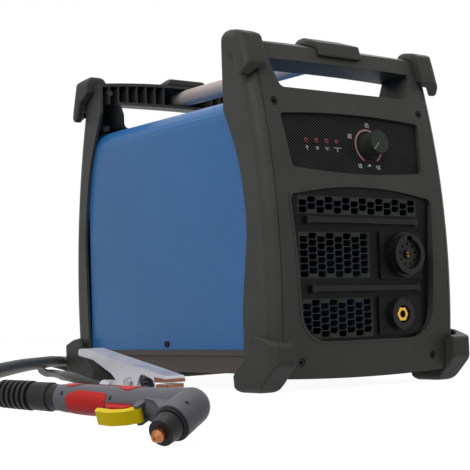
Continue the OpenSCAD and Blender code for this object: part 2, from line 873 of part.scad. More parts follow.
module indicator_lights() {
    color("#e8e0d8") panel_place() for (i = [-1.5:1.5]) {
        rod_y(light_row_x + i * light_step, light_z, light_d, 0, board_y);
        translate([light_row_x + i * light_step, 0, light_z]) intersection() {
            sphere(d = light_d, $fn = 32);
            translate([-5, -5, -5]) cube([10, 5, 10]);
        }
    }
}

module knob_potentiometer() {
    color("#8c8c88") panel_place() {
        rod_y(knob_x, 0, 16, panel_t, board_y);
        rod_y(knob_x, 0, shaft_d, -12, panel_t + 1);
    }
}

module control_knob() {
    color("#565a54") panel_place() translate([knob_x, -0.6, 0]) rotate([90, 0, 0]) difference() {
        union() {
            cylinder(d = knob_d + 2, h = 2, $fn = 64);
            cylinder(d = knob_d, h = knob_h - 1, $fn = 64);
            cylinder(d = knob_d - 2, h = knob_h, $fn = 64);
        }
        translate([0, 0, -1]) cylinder(d = shaft_d + 0.06, h = 13, $fn = 48);
        rotate(135) translate([-0.6, 1, knob_h - 0.6]) cube([1.2, knob_d / 2 - 2, 2]);
    }
}

// ---- Rear panel and what it carries ----

module rear_panel() {
    rings = 5;
    color("#1e1e1e") mirror_rear() difference() {
        along_y(-seat_y, panel_rear_t - seat_y) rear_opening(flange_w);
        for (i = [0:rings - 1], q = [0:3])
            rotate_about(-fan_x, fan_z) intersection() {
                rod_ring(16 + i * 9, 22 + i * 9);
                rotate([0, 90 * q, 0]) translate([2, -seat_y - 5, 2]) cube([80, 10, 80]);
            }
        translate([switch_at[0] - 14, -seat_y - 5, switch_at[1] - 11]) cube([28, 10, 22]);
        rod_y(gland_at[0], gland_at[1], 16.4, -seat_y - 5, -200);
        rod_y(knob_at[0], knob_at[1], 12.4, -seat_y - 5, -200);
        rod_y(gauge_at[0], gauge_at[1], 36.4, -seat_y - 5, -200);
    }
}

module rotate_about(x, z) {
    translate([x, 0, z]) children();
}

// Ring of the finger guard, between two radii
module rod_ring(r0, r1) {
    difference() {
        rod_y(0, 0, 2 * r1, -seat_y - 4, -seat_y + 6);
        rod_y(0, 0, 2 * r0, -seat_y - 5, -seat_y + 7);
    }
}

module fan_housing() {
    color("#242424") mirror_rear() translate([-fan_x, 0, fan_z]) difference() {
        union() {
            difference() {
                translate([-fan_w / 2, -fan_front, -fan_w / 2]) cube([fan_w, fan_t, fan_w]);
                rod_y(0, 0, fan_bore, -fan_front - 1, fan_t - fan_front + 1);
            }
            for (a = [0:3]) rotate([0, 45 + 90 * a, 0]) translate([0, fan_t - fan_front - 3, -3])
                cube([fan_bore / 2 + 2, 3, 6]);
            rod_y(0, 0, fan_hub - 4, fan_t - fan_front - 4, fan_t - fan_front);
        }
        rod_y(0, 0, fan_shaft + 0.06, -fan_front - 1, fan_t - fan_front + 1);
    }
}

module fan_rotor() {
    depth = fan_t - 8;
    tip = fan_bore - 4;
    color("#2e2e30") mirror_rear() translate([-fan_x, 0, fan_z]) {
        rod_y(0, 0, fan_hub, 2 - fan_front, 2 - fan_front + depth);
        rod_y(0, 0, fan_shaft, -fan_front + depth, fan_t - fan_front - 1);
        intersection() {
            difference() {
                rod_y(0, 0, tip, 2 - fan_front, 2 - fan_front + depth);
                rod_y(0, 0, fan_hub - 2, 1 - fan_front, 3 - fan_front + depth);
            }
            for (i = [0:blades - 1]) rotate([0, i * 360 / blades, 0]) translate([0, depth / 2 + 2 - fan_front, 0])
                rotate([35, 0, 0]) translate([0, -14, -1]) cube([tip / 2 + 5, 28, 2]);
        }
    }
}

module mains_switch_housing() {
    color("#141414") mirror_rear() translate([switch_at[0], -seat_y, switch_at[1]]) difference() {
        union() {
            translate([-16, -2, -13]) cube([32, 2, 26]);
            translate([-13.8, -1, -10.8]) cube([27.6, 24, 21.6]);
        }
        translate([-11.5, -3, -8.5]) cube([23, 20, 17]);
        rotate([0, 90, 0]) translate([0, 0, -12.5]) cylinder(d = 3.06, h = 25, $fn = 48);
    }
}

module mains_switch_rocker() {
    color("#9c1f1f") mirror_rear() translate([switch_at[0], -seat_y, switch_at[1]]) {
        rotate([rocker_tilt, 0, 0]) along_x(-11, 11)
            polygon([[-4.5, 7.4], [-2.2, 0], [-4.5, -7.4], [3, -6], [8, -3], [8, 3], [3, 6]]);
        rotate([0, 90, 0]) translate([0, 0, -12.3]) cylinder(d = 3, h = 24.6, $fn = 48);
    }
}

module mains_gland() {
    color("#1a1a1a") mirror_rear() translate([gland_at[0], -seat_y, gland_at[1]])
        rotate([90, 0, 0]) difference() {
        union() {
            cylinder(d = 26, h = 6, $fn = 6);
            translate([0, 0, 5]) cylinder(d1 = 22, d2 = 17, h = 10, $fn = 64);
            translate([0, 0, -14]) cylinder(d = 16, h = 15, $fn = 64);
            translate([0, 0, -panel_rear_t - 6]) cylinder(d = 24, h = 5.8, $fn = 6);
        }
        translate([0, 0, -20]) cylinder(d = 10, h = 50, $fn = 48);
    }
}

module air_regulator() {
    color("#8a8d90") mirror_rear() difference() {
        union() {
            translate([knob_at[0] - 18, panel_rear_t - seat_y, knob_at[1] - 18])
                cube([36, 36, gauge_at[1] - knob_at[1] + 36]);
            rod_y(knob_at[0], knob_at[1], 12, -seat_y - 4, 6 - seat_y);
            rod_y(knob_at[0], knob_at[1], 14, 30 - seat_y, 55 - seat_y);
        }
        rod_y(knob_at[0], knob_at[1], 6.06, -seat_y - 5, 30 - seat_y);
        rod_y(gauge_at[0], gauge_at[1], 8.2, -seat_y - 5, 20 - seat_y);
    }
}

module air_regulator_knob() {
    color("#202020") mirror_rear() {
        difference() {
            rod_y(knob_at[0], knob_at[1], regulator_d, -seat_y - 22, -seat_y - 4.3);
            for (i = [0:11]) rotate_about(knob_at[0], knob_at[1]) rotate([0, i * 30, 0])
                rod_y(regulator_d / 2 + 0.6, 0, 3, -seat_y - 30, -seat_y - 9);
        }
        rod_y(knob_at[0], knob_at[1], 6, -seat_y - 5, 24 - seat_y);
    }
}

module pressure_gauge() {
    color("#d0d0cc") mirror_rear() {
        rod_y(gauge_at[0], gauge_at[1], 40, -seat_y - 9, -seat_y);
        rod_y(gauge_at[0], gauge_at[1], 36, -seat_y - 1, panel_rear_t - seat_y - 0.2);
        rod_y(gauge_at[0], gauge_at[1], 8, -seat_y, 18 - seat_y);
    }
}

// ---- Inside ----

module solenoid_valve() {
    color("#6c7a50") {
        translate([92, 40, deck]) cube([36, 60, 28]);
        translate([95, 48, deck + 28]) cube([30, 30, 34]);
    }
}

module board_pillars() {
    color("#b0a890") for (x = [-1, 1], y = [-1, 1]) translate([x * pillar_at[0], y * pillar_at[1], deck]) {
        cylinder(d = 10, h = board_z - deck, $fn = 48);
        cylinder(d = 4, h = board_z - deck + 6, $fn = 48);
    }
}

module main_board() {
    color("#2d5a3a") difference() {
        translate([-pillar_at[0] - 9, -pillar_at[1] - 9, board_z])
            cube([2 * pillar_at[0] + 18, 2 * pillar_at[1] + 18, 1.8]);
        for (x = [-1, 1], y = [-1, 1]) translate([x * pillar_at[0], y * pillar_at[1], board_z - 1])
            cylinder(d = 4.2, h = 5, $fn = 48);
    }
}

module capacitors() {
    color("#26303c") for (i = [-1:1]) translate([i * 48 - 20, 50, board_z + 1.8])
        cylinder(d = 35, h = 50, $fn = 64);
}

module heat_sink() {
    fins = 12;
    pitch = 6.5;
    color("#a8abae") translate([-sink_x, -150, deck]) {
        cube([8, 150, 88]);
        for (i = [0:fins - 1]) translate([7, 0, i * pitch + 6]) cube([52, 150, 2]);
    }
}

module main_transformer() {
    color("#3a3c3e") translate([-110, 40, deck]) difference() {
        cube([96, 62, 84]);
        translate([16, -1, 16]) cube([20, 64, 52]);
        translate([60, -1, 16]) cube([20, 64, 52]);
    }
    color("#a86a34") translate([-110 + 16.5, 30, deck + 16.5]) difference() {
        cube([63, 82, 51]);
        translate([19.2, 9.5, -1]) cube([24.6, 63, 53]);
    }
}

module output_choke() {
    color("#a86a34") translate([40, -60, deck]) rotate_extrude($fn = 96) translate([18, 0])
        polygon(rounded([[0, 0, 4], [28, 0, 8], [28, 38, 8], [0, 38, 4]]));
}

// ---- Hand torch ----
// In its own frame the torch runs along +X from the end of its boot, and its head points to -Z.

module torch_place() {
    translate(torch_at) rotate(torch_turn) children();
}

// Radius of the handle along its length, as [distance from the boot, radius]
function handle_profile(grow) =
    let (r = handle_d / 2 + grow)
    smooth([[0, r - 2.8], [8, r - 2], [30, r - 1.4], [62, r - 1.2], [88, r - 0.6], [handle_l - 8, r + 0.5],
        [handle_l, r + 0.8]], 2);

// The round rear part of the handle
module handle_round(grow) {
    translate([boot_l, 0, 0]) rotate([0, 90, 0]) rotate_extrude($fn = 64)
        polygon(concat([[0, 0]], [for (p = handle_profile(grow)) [p[1], p[0]]], [[0, handle_l]]));
}

module handle_body() {
    r = head_d / 2;
    gusset = 9;
    handle_round(0);
    translate([elbow_x, 0, 0]) sphere(r, $fn = 64);
    translate([elbow_x, 0, -head_l]) cylinder(r = r, h = head_l, $fn = 64);
    along_y(-gusset, gusset) translate([elbow_x, 0])
        polygon([[-30, 0], [-31, -9], [-22, -11], [-11, 4 - head_l], [0, 4 - head_l], [0, 0]]);
}

// Side outline of the red grip that wraps the handle's underside
module under_outline(grow) {
    polygon(rounded([[12 - grow, -8.8, 2], [23, grow - 5.4, 3], [49 + grow, grow - 6.6, 1.5],
        [43 + grow, -handle_d, 0],
        [17 - grow, -handle_d, 0]]));
}

// Side outline of the red strip along the handle's back, with a lobe at each end
module back_outline(grow) {
    polygon(rounded([[7 - grow, handle_d, 0], [7 - grow, 2, 2], [10, -2 - grow, 2], [15, -1.2 - grow, 2],
        [23 + grow, 5.9 - grow, 3], [50 - grow, 6.2 - grow, 3], [57, -1 - grow, 3], [65, -3.2 - grow, 3],
        [71 + grow, 2, 3], [75 + grow, handle_d, 0]]));
}

// Both grips, between two depths of the handle's skin
module pads(grow, outer, inner) {
    intersection() {
        along_y(-handle_d, handle_d) translate([boot_l, 0]) union() {
            under_outline(grow);
            back_outline(grow);
        }
        difference() {
            handle_round(outer);
            translate([-1, 0, 0]) handle_round(inner);
            translate([1, 0, 0]) handle_round(inner);
        }
    }
}

module handle_half(s) {
    color("#63636b") torch_place() difference() {
        handle_body();
        translate([boot_l - 1, 0, 0]) rotate([0, 90, 0]) cylinder(d = passage_d, h = handle_l, $fn = 48);
        translate([elbow_x, 0, -head_l - 1]) cylinder(d = passage_d, h = head_l + 1, $fn = 48);
        translate([trigger_x - fit, -trigger_w / 2 - fit, -handle_d]) cube([trigger_l + 2 * fit, trigger_w + 2 * fit,
            handle_d + trigger_top + trigger_travel + fit]);
        pads(0.15, 3, -pad_depth - 0.15);
        for (p = handle_screws) translate([p[0], s * (p[2] + 2), p[1]]) rotate([90, 0, 0])
            cylinder(d = 2.8, h = 8, center = true, $fn = 24);
        translate([0, s > 0 ? -handle_d : 0, -handle_d * 3]) cube([2 * elbow_x, handle_d, handle_d * 6]);
    }
    color("#63636b") torch_place() mirror([0, s > 0 ? 0 : 1, 0]) lever_ear();
}

// Ear of the handle that holds one half of the lever's pin
module lever_ear() {
    y = lever_w / 2 + fit;
    x = lever_pin[0];
    z = lever_pin[1];
    along_y(y, y + 1.8) polygon(rounded([[x - 3.4, z + 12, 0], [x - 2.3, z - 2.3, 2], [x + 2.3, z - 2.3, 2],
        [x + 4, z + 12, 0]]));
    rod_y(x, z, lever_pin_d, 0, y + 1);
}

module torch_handle_left() { handle_half(-1); }
module torch_handle_right() { handle_half(1); }

module torch_grips() {
    color("#c62a28") torch_place() pads(0, 0.5, -pad_depth);
}

module torch_trigger() {
    color("#c62a28") torch_place() along_y(-trigger_w / 2, trigger_w / 2)
        polygon(rounded([[trigger_x, trigger_top, 0], [trigger_x, -handle_d / 2 - 1, 1],
            [trigger_x + 5, -handle_d / 2 - 4, 3], [trigger_x + trigger_l - 5, -handle_d / 2 - 3.6, 3],
            [trigger_x + trigger_l, -handle_d / 2, 1], [trigger_x + trigger_l, trigger_top, 0]]));
}

// Side outline of the yellow safety lever
function lever_side() =
    let (x = lever_pin[0], z = -handle_d / 2)
    rounded([[x - 31.5, z - 8, 1], [x - 30.5, z - 13.4, 2.5], [x - 18, z - 14.4, 12], [x - 7, z - 11.5, 10],
        [x + 3, z - 5.6, 2.4], [x + 2.6, z - 1.6, 1.8], [x - 3.4, z - 1.6, 1.8], [x - 8, z - 6.6, 6],
        [x - 18, z - 9, 10]]);

module torch_safety_lever() {
    color("#f0d400") torch_place() difference() {
        along_y(-lever_w / 2, lever_w / 2) polygon(lever_side());
        rod_y(lever_pin[0], lever_pin[1], lever_pin_d + 0.06, -lever_w, lever_w);
    }
}

module torch_cap() {
    color("#161616") torch_place() translate([elbow_x, 0, -head_l]) difference() {
        union() {
            translate([0, 0, -3]) cylinder(d = head_d - 3, h = 3, $fn = 64);
            translate([0, 0, 0.3 - cap_l])
                cylinder(d1 = head_d - 8, d2 = head_d - 5, h = cap_l - 3, $fn = 64);
            translate([0, 0, -1]) cylinder(d = passage_d - 0.6, h = 9, $fn = 48);
        }
        translate([0, 0, -cap_l - 1]) cylinder(d = 9.6, h = cap_l + 20, $fn = 48);
    }
}

module torch_tip() {
    color("#b8734a") torch_place() translate([elbow_x, 0, -head_l - cap_l - tip_l]) difference() {
        union() {
            cylinder(d1 = 5, d2 = 9.4, h = 4, $fn = 48);
            translate([0, 0, 4]) cylinder(d = 9.4, h = tip_l + cap_l, $fn = 48);
        }
        translate([0, 0, -1]) cylinder(d = 1.2, h = 8, $fn = 24);
        translate([0, 0, 6]) cylinder(d = 5, h = tip_l + cap_l, $fn = 24);
    }
}

module torch_boot() {
    ribs = 6;
    step = 5;
    r = handle_d / 2 - 1.4;
    bore = lead_d / 2 + 0.3;
    outline = concat([[bore - 2, lead_in], [bore, lead_in], [bore, 0]],
        [for (i = [0:ribs - 1]) each [[r - 0.6 + i * 0.1, i * step + 0.2], [r - 0.4 + i * 0.1, i * step + 3],
            [r - 2.4, i * step + 3.4], [r - 2.4, i * step + 4.4]]],
        [[r - 0.6, ribs * step + 1], [r - 0.3, boot_l - 8], [r - 1.4, boot_l - 7.6], [r - 1.4, boot_l],
        [bore - 2, boot_l]]);
    color("#1a1a1a") torch_place() rotate([0, 90, 0]) rotate_extrude($fn = 64) polygon(outline);
}

// ---- Earth clamp ----
// In its own frame the clamp points along +X, its pin lies along Y and its upper arm is above.

module clamp_place() {
    translate(clamp_at) rotate(clamp_turn) children();
}

function arm_web() =
    let (r = clamp_rear, f = clamp_front, h = clamp_open)
    rounded([[-r, h - 6, 1.5], [-r, h, 3], [-r + 10, h, 8], [f, clamp_jaw_z, 1], [f + 1, jaw_gap / 2, 0],
        [f - 12, jaw_gap / 2, 0], [30, 4.5, 3], [17, 8.5, 5], [9, -6, 3], [-8, -6, 3], [-24, 8, 4], [-50, h - 10, 8]]);

// The web cut back by a distance on the side of the jaw, which leaves the top plate
function arm_hollow() =
    let (r = clamp_rear, f = clamp_front, h = clamp_open, t = clamp_t * 1.3)
    [[-r - 1, h - t], [-r + 11, h - t], [f - 12, clamp_jaw_z + 0.4], [f - 12, -20], [-r - 1, -20]];

// One pressed steel arm: a channel whose back is the top plate
module clamp_arm(w) {
    difference() {
        along_y(-w / 2, w / 2) polygon(arm_web());
        along_y(clamp_t - w / 2, w / 2 - clamp_t) polygon(arm_hollow());
        rod_y(0, 0, clamp_pin_d + 0.06, -w, w);
        for (i = [0:3]) translate([clamp_front - 9 + i * 2.4, -w, -1]) rotate([0, 45, 0])
            cube([1.2, 2 * w, 1.2]);
    }
}

module clamp_upper() {
    color("#b8b8bc") clamp_place() clamp_arm(clamp_w);
}

// Crimp that holds the end of the earth cable between the arms
module cable_crimp() {
    d = cable_d + 3.6;
    difference() {
        union() {
            translate([crimp_x, 0, crimp_z]) rotate([0, 90, 0]) cylinder(d = d, h = crimp_l, $fn = 64);
            translate([crimp_x + 2, -4, 4 - clamp_open]) cube([crimp_l - 4, 8, clamp_open - 8 + crimp_z]);
        }
        translate([crimp_x - 1, 0, crimp_z]) rotate([0, 90, 0])
            cylinder(d = cable_d + 0.6, h = crimp_in + 1, $fn = 48);
    }
}

module clamp_lower() {
    color("#b8b8bc") clamp_place() {
        mirror([0, 0, 1]) clamp_arm(lower_w);
        cable_crimp();
    }
}

// A round wire swept along points, with so many sides; up is never along the wire
function wire_rings(p, r, sides, up) =
    [for (i = [0:len(p) - 1])
        let (d = p[min(i + 1, len(p) - 1)] - p[max(i - 1, 0)], t = d / norm(d))
        let (u = cross(t, up) / norm(cross(t, up)), v = cross(u, t))
        for (k = [0:sides - 1]) p[i] + r * (cos(k * 360 / sides) * u + sin(k * 360 / sides) * v)];

function wire_faces(n, sides) =
    concat([for (k = [1:sides - 2]) [0, k + 1, k]],
        [for (i = [0:n - 2], k = [0:sides - 1])
            let (a = i * sides + k, b = i * sides + (k + 1) % sides)
            each [[a, b, a + sides], [b, b + sides, a + sides]]],
        [for (k = [1:sides - 2]) [(n - 1) * sides, (n - 1) * sides + k, (n - 1) * sides + k + 1]]);

module wire(p, r, sides, up) {
    polyhedron(wire_rings(p, r, sides, up), wire_faces(len(p), sides));
}

// Least distance between the middles of turns at least half a turn apart
function least_step(p, lap) =
    min([for (i = [0:len(p) - 1 - lap], j = [i + lap:len(p) - 1]) norm(p[i] - p[j])]);

// The clamp's spring round its pin, with a short straight leg at each end
function spring_points() =
    let (n = spring_turns * 8, y0 = -spring_turns * spring_step / 2)
    concat([[-6, y0 - 0.05, spring_r]],
        [for (i = [0:n]) let (a = i * 45) [spring_r * sin(a), y0 + spring_step * i / 8, spring_r * cos(a)]],
        [[6, -y0 + 0.05, spring_r]]);

echo(spring_gap = least_step(spring_points(), 6) - spring_wire);

module clamp_pin_and_spring() {
    color("#8c8c90") clamp_place() {
        rod_y(0, 0, clamp_pin_d, -clamp_w / 2 - 0.5, clamp_w / 2 + 0.5);
        for (y = [-1, 1] * (clamp_w / 2 + 1.3)) rod_y(0, 0, clamp_pin_d + 3, y - 1, y + 1);
        wire(spring_points(), spring_wire / 2, 6, [0, 1, 0]);
    }
}

// ---- Cords ----

// The free stretch of the torch lead, from the boot to its coil
lead_route = [[-589.3, -468, 33.4], [-594, -457, 34], [-599, -445, 34.6], [-604, -424, 36], [-602, -398, 38],
    [-590, -371, 39.5], [-572, -343, 41], [-545, -305, 42], [-500, -242, 42], [-440, -158, 42],
    [-368, -54, 41], [-295, 50, 39], [-225, 150, 37], [-199, 187, 35.8], [-176.5, 219.6, 34.7],
    [-165, 236, 34], [-151.9, 249.6, 33], [-134.3, 258.8, 31.5], [-115.8, 261.7, 29.5],
    [-97, 262.8, 27], [-70, 265, 20.5], [-44, 269.5, 13],
    [-18, 275, 8.8], [8, 277.7, 7.4], [35.6, 278, 7.4]];

// The free stretch of the earth cable, from the clamp to its coil
cable_route = [[-432.6, -346.3, 27], [-433.9, -336.4, 27], [-435.3, -324.4, 28], [-437, -308, 30.5],
    [-435, -285, 34], [-426, -253, 35], [-403, -203, 33.5], [-372, -145, 31], [-335, -75, 28.5],
    [-300, -5, 26.5], [-275, 55, 25.5], [-262, 95, 24.5], [-248, 135, 27], [-227, 175, 31],
    [-202, 213, 33], [-178, 245.3, 32], [-153.8, 267.5, 28], [-126.4, 278, 21], [-104, 277, 14],
    [-83, 269.5, 8.5], [-60, 261.5, 5.8], [-36, 257.5, 5], [0, 257, 5], [50, 261, 5], [100, 266, 5],
    [150, 277, 5], [185, 282, 5], [215.4, 283, 5]];

// Two layers of loops: they wind in below and out again on top
function coil_points(at, r, d, turns, tail) =
    let (steps = 24, n = turns * steps, half = turns / 2, pitch = d + 0.6, rise = d + 0.6)
    concat([[at[0] - d, at[1] - r, d / 2 + 0.2]],
        [for (i = [0:n])
            let (t = i / steps, q = r - pitch * min(t, turns - t), a = 360 * t - 90)
            let (up = min(max(2 * (t - half) + 0.5, 0), 1))
            [at[0] + q * cos(a), at[1] + q * sin(a), d / 2 + 0.2 + rise * up]],
        [let (a = 360 * turns - 90)
            [at[0] + r * cos(a) - tail * sin(a), at[1] + r * sin(a) + tail * cos(a), d / 2 + 0.2 + rise]]);

lead_coil_points = coil_points(lead_coil_at, lead_coil_r, lead_d, coil_turns, lead_tail);
cable_coil_points = coil_points(cable_coil_at, cable_coil_r, cable_d, coil_turns, cable_tail);
echo(lead_coil_gap = least_step(lead_coil_points, 12) - lead_d);
echo(cable_coil_gap = least_step(cable_coil_points, 12) - cable_d);

module torch_lead() {
    color("#3a3a38") wire(smooth(lead_route, 3), lead_d / 2, 8, [0, 0, 1]);
}

module torch_lead_coil() {
    color("#3a3a38") wire(lead_coil_points, lead_d / 2, 6, [0, 0, 1]);
}

module earth_cable() {
    color("#3c3c3a") wire(smooth(cable_route, 3), cable_d / 2, 8, [0, 0, 1]);
}

module earth_cable_coil() {
    color("#3c3c3a") wire(cable_coil_points, cable_d / 2, 6, [0, 0, 1]);
}

// A plug along +Y that starts where a coil's straight tail ends
module plug_place(points) {
    translate(points[len(points) - 1]) rotate([-90, 0, 0]) children();
}

module torch_plug() {
    r = insert_d / 2 - 0.4;
    axis_z = lead_coil_points[len(lead_coil_points) - 1][2];
    color("#1e1e1e") plug_place(lead_coil_points) difference() {
        union() {
            cylinder(d1 = lead_d + 4, d2 = lead_d + 8, h = 26, $fn = 48);
            translate([0, 0, 26]) cylinder(d = 2 * axis_z - 1, h = 40, $fn = 64);
            translate([0, 0, 65]) cylinder(r = r - 2, h = 22, $fn = 64);
        }
        for (i = [0:17]) rotate(i * 20) translate([axis_z, 0, 34])
            cylinder(d = 3, h = 24, $fn = 24);
        translate([0, 0, 84]) cylinder(r = r - 4.5, h = 5, $fn = 48);
    }
}

module earth_plug() {
    d = 2 * cable_coil_points[len(cable_coil_points) - 1][2] - 0.6;
    color("#1e1e1e") plug_place(cable_coil_points) {
        cylinder(d1 = cable_d + 6, d2 = d, h = 18, $fn = 48);
        translate([0, 0, 18]) cylinder(d = d, h = 34, $fn = 64);
    }
    color("#c8a24a") plug_place(cable_coil_points) {
        translate([0, 0, 52]) cylinder(d = earth_bore + 4, h = 2, $fn = 48);
        translate([0, 0, 54]) cylinder(d = earth_bore - 0.2, h = 16, $fn = 48);
    }
}

front_frame();
rear_frame();
top_bumper_front_left();
top_bumper_front_right();
top_bumper_rear_left();
top_bumper_rear_right();
foot_bumper_front_left();
foot_bumper_front_right();
foot_bumper_rear_left();
foot_bumper_rear_right();
front_saddle_cap();
rear_saddle_cap();
carry_tube();
cover();
base_pan();
frame_screws();
cover_screws();
front_grille();
control_panel();
control_knob();
knob_potentiometer();
control_board();
indicator_lights();
torch_socket();
torch_socket_insert();
earth_socket();
earth_socket_contact();
rear_panel();
fan_housing();
fan_rotor();
mains_switch_housing();
mains_switch_rocker();
mains_gland();
air_regulator();
air_regulator_knob();
pressure_gauge();
solenoid_valve();
board_pillars();
main_board();
capacitors();
heat_sink();
main_transformer();
output_choke();
torch_handle_left();
torch_handle_right();
torch_grips();
torch_trigger();
torch_safety_lever();
torch_cap();
torch_tip();
torch_boot();
torch_lead();
torch_lead_coil();
torch_plug();
clamp_upper();
clamp_lower();
clamp_pin_and_spring();
earth_cable();
earth_cable_coil();
earth_plug();
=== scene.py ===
import json
import math

import bmesh
import bpy
from mathutils import Matrix, Vector


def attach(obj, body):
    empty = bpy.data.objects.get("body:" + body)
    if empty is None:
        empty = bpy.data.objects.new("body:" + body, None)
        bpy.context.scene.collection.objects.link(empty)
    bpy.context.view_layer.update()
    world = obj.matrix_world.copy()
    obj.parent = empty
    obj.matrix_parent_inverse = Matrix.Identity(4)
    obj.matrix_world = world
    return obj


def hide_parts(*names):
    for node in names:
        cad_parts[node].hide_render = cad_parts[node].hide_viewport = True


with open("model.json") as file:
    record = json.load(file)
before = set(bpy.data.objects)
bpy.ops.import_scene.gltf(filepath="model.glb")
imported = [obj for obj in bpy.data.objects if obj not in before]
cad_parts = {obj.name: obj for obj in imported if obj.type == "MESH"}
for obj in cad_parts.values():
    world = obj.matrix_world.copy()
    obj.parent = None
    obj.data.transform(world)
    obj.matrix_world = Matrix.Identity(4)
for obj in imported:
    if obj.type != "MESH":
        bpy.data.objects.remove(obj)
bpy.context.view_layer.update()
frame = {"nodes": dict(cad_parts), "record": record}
NODES = frame["nodes"]
RECORD = frame["record"]
SLOT = {s["node"]: s["material_slot"] for s in RECORD["subparts"]}
BODY = {n: b for b, names in RECORD["behaviour"]["bodies"].items() for n in names}
MM = 0.001


# ---- Camera ----
# The photograph's view: eye point in mm, turn from +Y towards +X, pitch and roll in radians, and
# focal length in pixels of a square picture
EYE = Vector((-1027.334, -1336.991, 84.495)) * MM
YAW, PITCH, ROLL = 0.6413347, 0.0665751, -0.0320473
FOCAL_PX, PICTURE_PX = 1264.614, 470
SENSOR_MM = 36


def make_camera():
    fwd = Vector((math.sin(YAW) * math.cos(PITCH), math.cos(YAW) * math.cos(PITCH), math.sin(PITCH)))
    level = Vector((math.cos(YAW), -math.sin(YAW), 0))
    upright = level.cross(fwd)
    right = math.cos(ROLL) * level + math.sin(ROLL) * upright
    up = -math.sin(ROLL) * level + math.cos(ROLL) * upright
    data = bpy.data.cameras.new("camera")
    data.sensor_fit = "HORIZONTAL"
    data.sensor_width = SENSOR_MM
    data.lens = FOCAL_PX * SENSOR_MM / PICTURE_PX
    data.clip_start = 0.05
    data.clip_end = 100
    cam = bpy.data.objects.new("camera", data)
    cam.matrix_world = Matrix((
        (right.x, up.x, -fwd.x, EYE.x),
        (right.y, up.y, -fwd.y, EYE.y),
        (right.z, up.z, -fwd.z, EYE.z),
        (0, 0, 0, 1)))
    bpy.context.scene.collection.objects.link(cam)
    bpy.context.scene.camera = cam


make_camera()


# ---- Node materials ----

class Graph:
    """A small helper that builds one node material."""

    INPUTS = {"color": "Base Color", "rough": "Roughness", "metal": "Metallic", "normal": "Normal",
              "coat": "Coat Weight", "coat_rough": "Coat Roughness", "specular": "Specular IOR Level"}

    def __init__(self, name):
        self.mat = bpy.data.materials.new(name)
        self.mat.use_nodes = True
        self.tree = self.mat.node_tree
        self.tree.nodes.clear()
        out = self.tree.nodes.new("ShaderNodeOutputMaterial")
        self.bsdf = self.tree.nodes.new("ShaderNodeBsdfPrincipled")
        self.tree.links.new(self.bsdf.outputs[0], out.inputs[0])
        self.coord = self.tree.nodes.new("ShaderNodeTexCoord").outputs["Object"]

    def node(self, kind, **values):
        n = self.tree.nodes.new(kind)
        for k, v in values.items():
            setattr(n, k, v)
        return n

    def link(self, a, b):
        self.tree.links.new(a, b)

    def put(self, socket, value):
        if isinstance(value, bpy.types.NodeSocket):
            self.link(value, socket)
        elif isinstance(value, (tuple, list)) and len(value) == 3 and socket.type == "RGBA":
            socket.default_value = (*value, 1)
        else:
            socket.default_value = value

    def stretch(self, scale=(1, 1, 1), turn=(0, 0, 0), place=(0, 0, 0)):
        m = self.node("ShaderNodeMapping")
        m.inputs["Scale"].default_value = scale
        m.inputs["Rotation"].default_value = turn
        m.inputs["Location"].default_value = place
        self.link(self.coord, m.inputs["Vector"])
        return m.outputs[0]

    def noise(self, scale, detail=2.0, rough=0.5, at=None):
        n = self.node("ShaderNodeTexNoise")
        n.inputs["Scale"].default_value = scale
        n.inputs["Detail"].default_value = detail
        n.inputs["Roughness"].default_value = rough
        self.link(at or self.coord, n.inputs["Vector"])
        return n.outputs["Fac"]

    def cells(self, scale, feature="F1"):
        n = self.node("ShaderNodeTexVoronoi", feature=feature)
        n.inputs["Scale"].default_value = scale
        self.link(self.coord, n.inputs["Vector"])
        return n.outputs["Distance"]

    def stripes(self, scale, at):
        n = self.node("ShaderNodeTexWave", wave_type="BANDS", bands_direction="X", wave_profile="SIN")
        n.inputs["Scale"].default_value = scale
        n.inputs["Distortion"].default_value = 0.0
        self.link(at, n.inputs["Vector"])
        return n.outputs["Fac"]

    def map(self, value, low, high, to_low=0.0, to_high=1.0):
        n = self.node("ShaderNodeMapRange")
        n.inputs["From Min"].default_value = low
        n.inputs["From Max"].default_value = high
        n.inputs["To Min"].default_value = to_low
        n.inputs["To Max"].default_value = to_high
        self.link(value, n.inputs["Value"])
        return n.outputs[0]

    def math(self, operation, a, b):
        n = self.node("ShaderNodeMath", operation=operation)
        self.put(n.inputs[0], a)
        self.put(n.inputs[1], b)
        return n.outputs[0]

    def mix(self, factor, a, b):
        n = self.node("ShaderNodeMix", data_type="RGBA")
        self.put(n.inputs["Factor"], factor)
        self.put(n.inputs["A"], a)
        self.put(n.inputs["B"], b)
        return n.outputs["Result"]

    def bump(self, height, strength, distance):
        n = self.node("ShaderNodeBump")
        n.inputs["Strength"].default_value = strength
        n.inputs["Distance"].default_value = distance
        self.link(height, n.inputs["Height"])
        return n.outputs[0]

    def set(self, **values):
        for k, v in values.items():
            self.put(self.bsdf.inputs[self.INPUTS[k]], v)
        return self.mat


def tint(c, k):
    return tuple(min(1.0, x * k) for x in c)


def srgb(text):
    v = [int(text[i:i + 2], 16) / 255 for i in (1, 3, 5)]
    return tuple(x / 12.92 if x <= 0.04045 else ((x + 0.055) / 1.055) ** 2.4 for x in v)


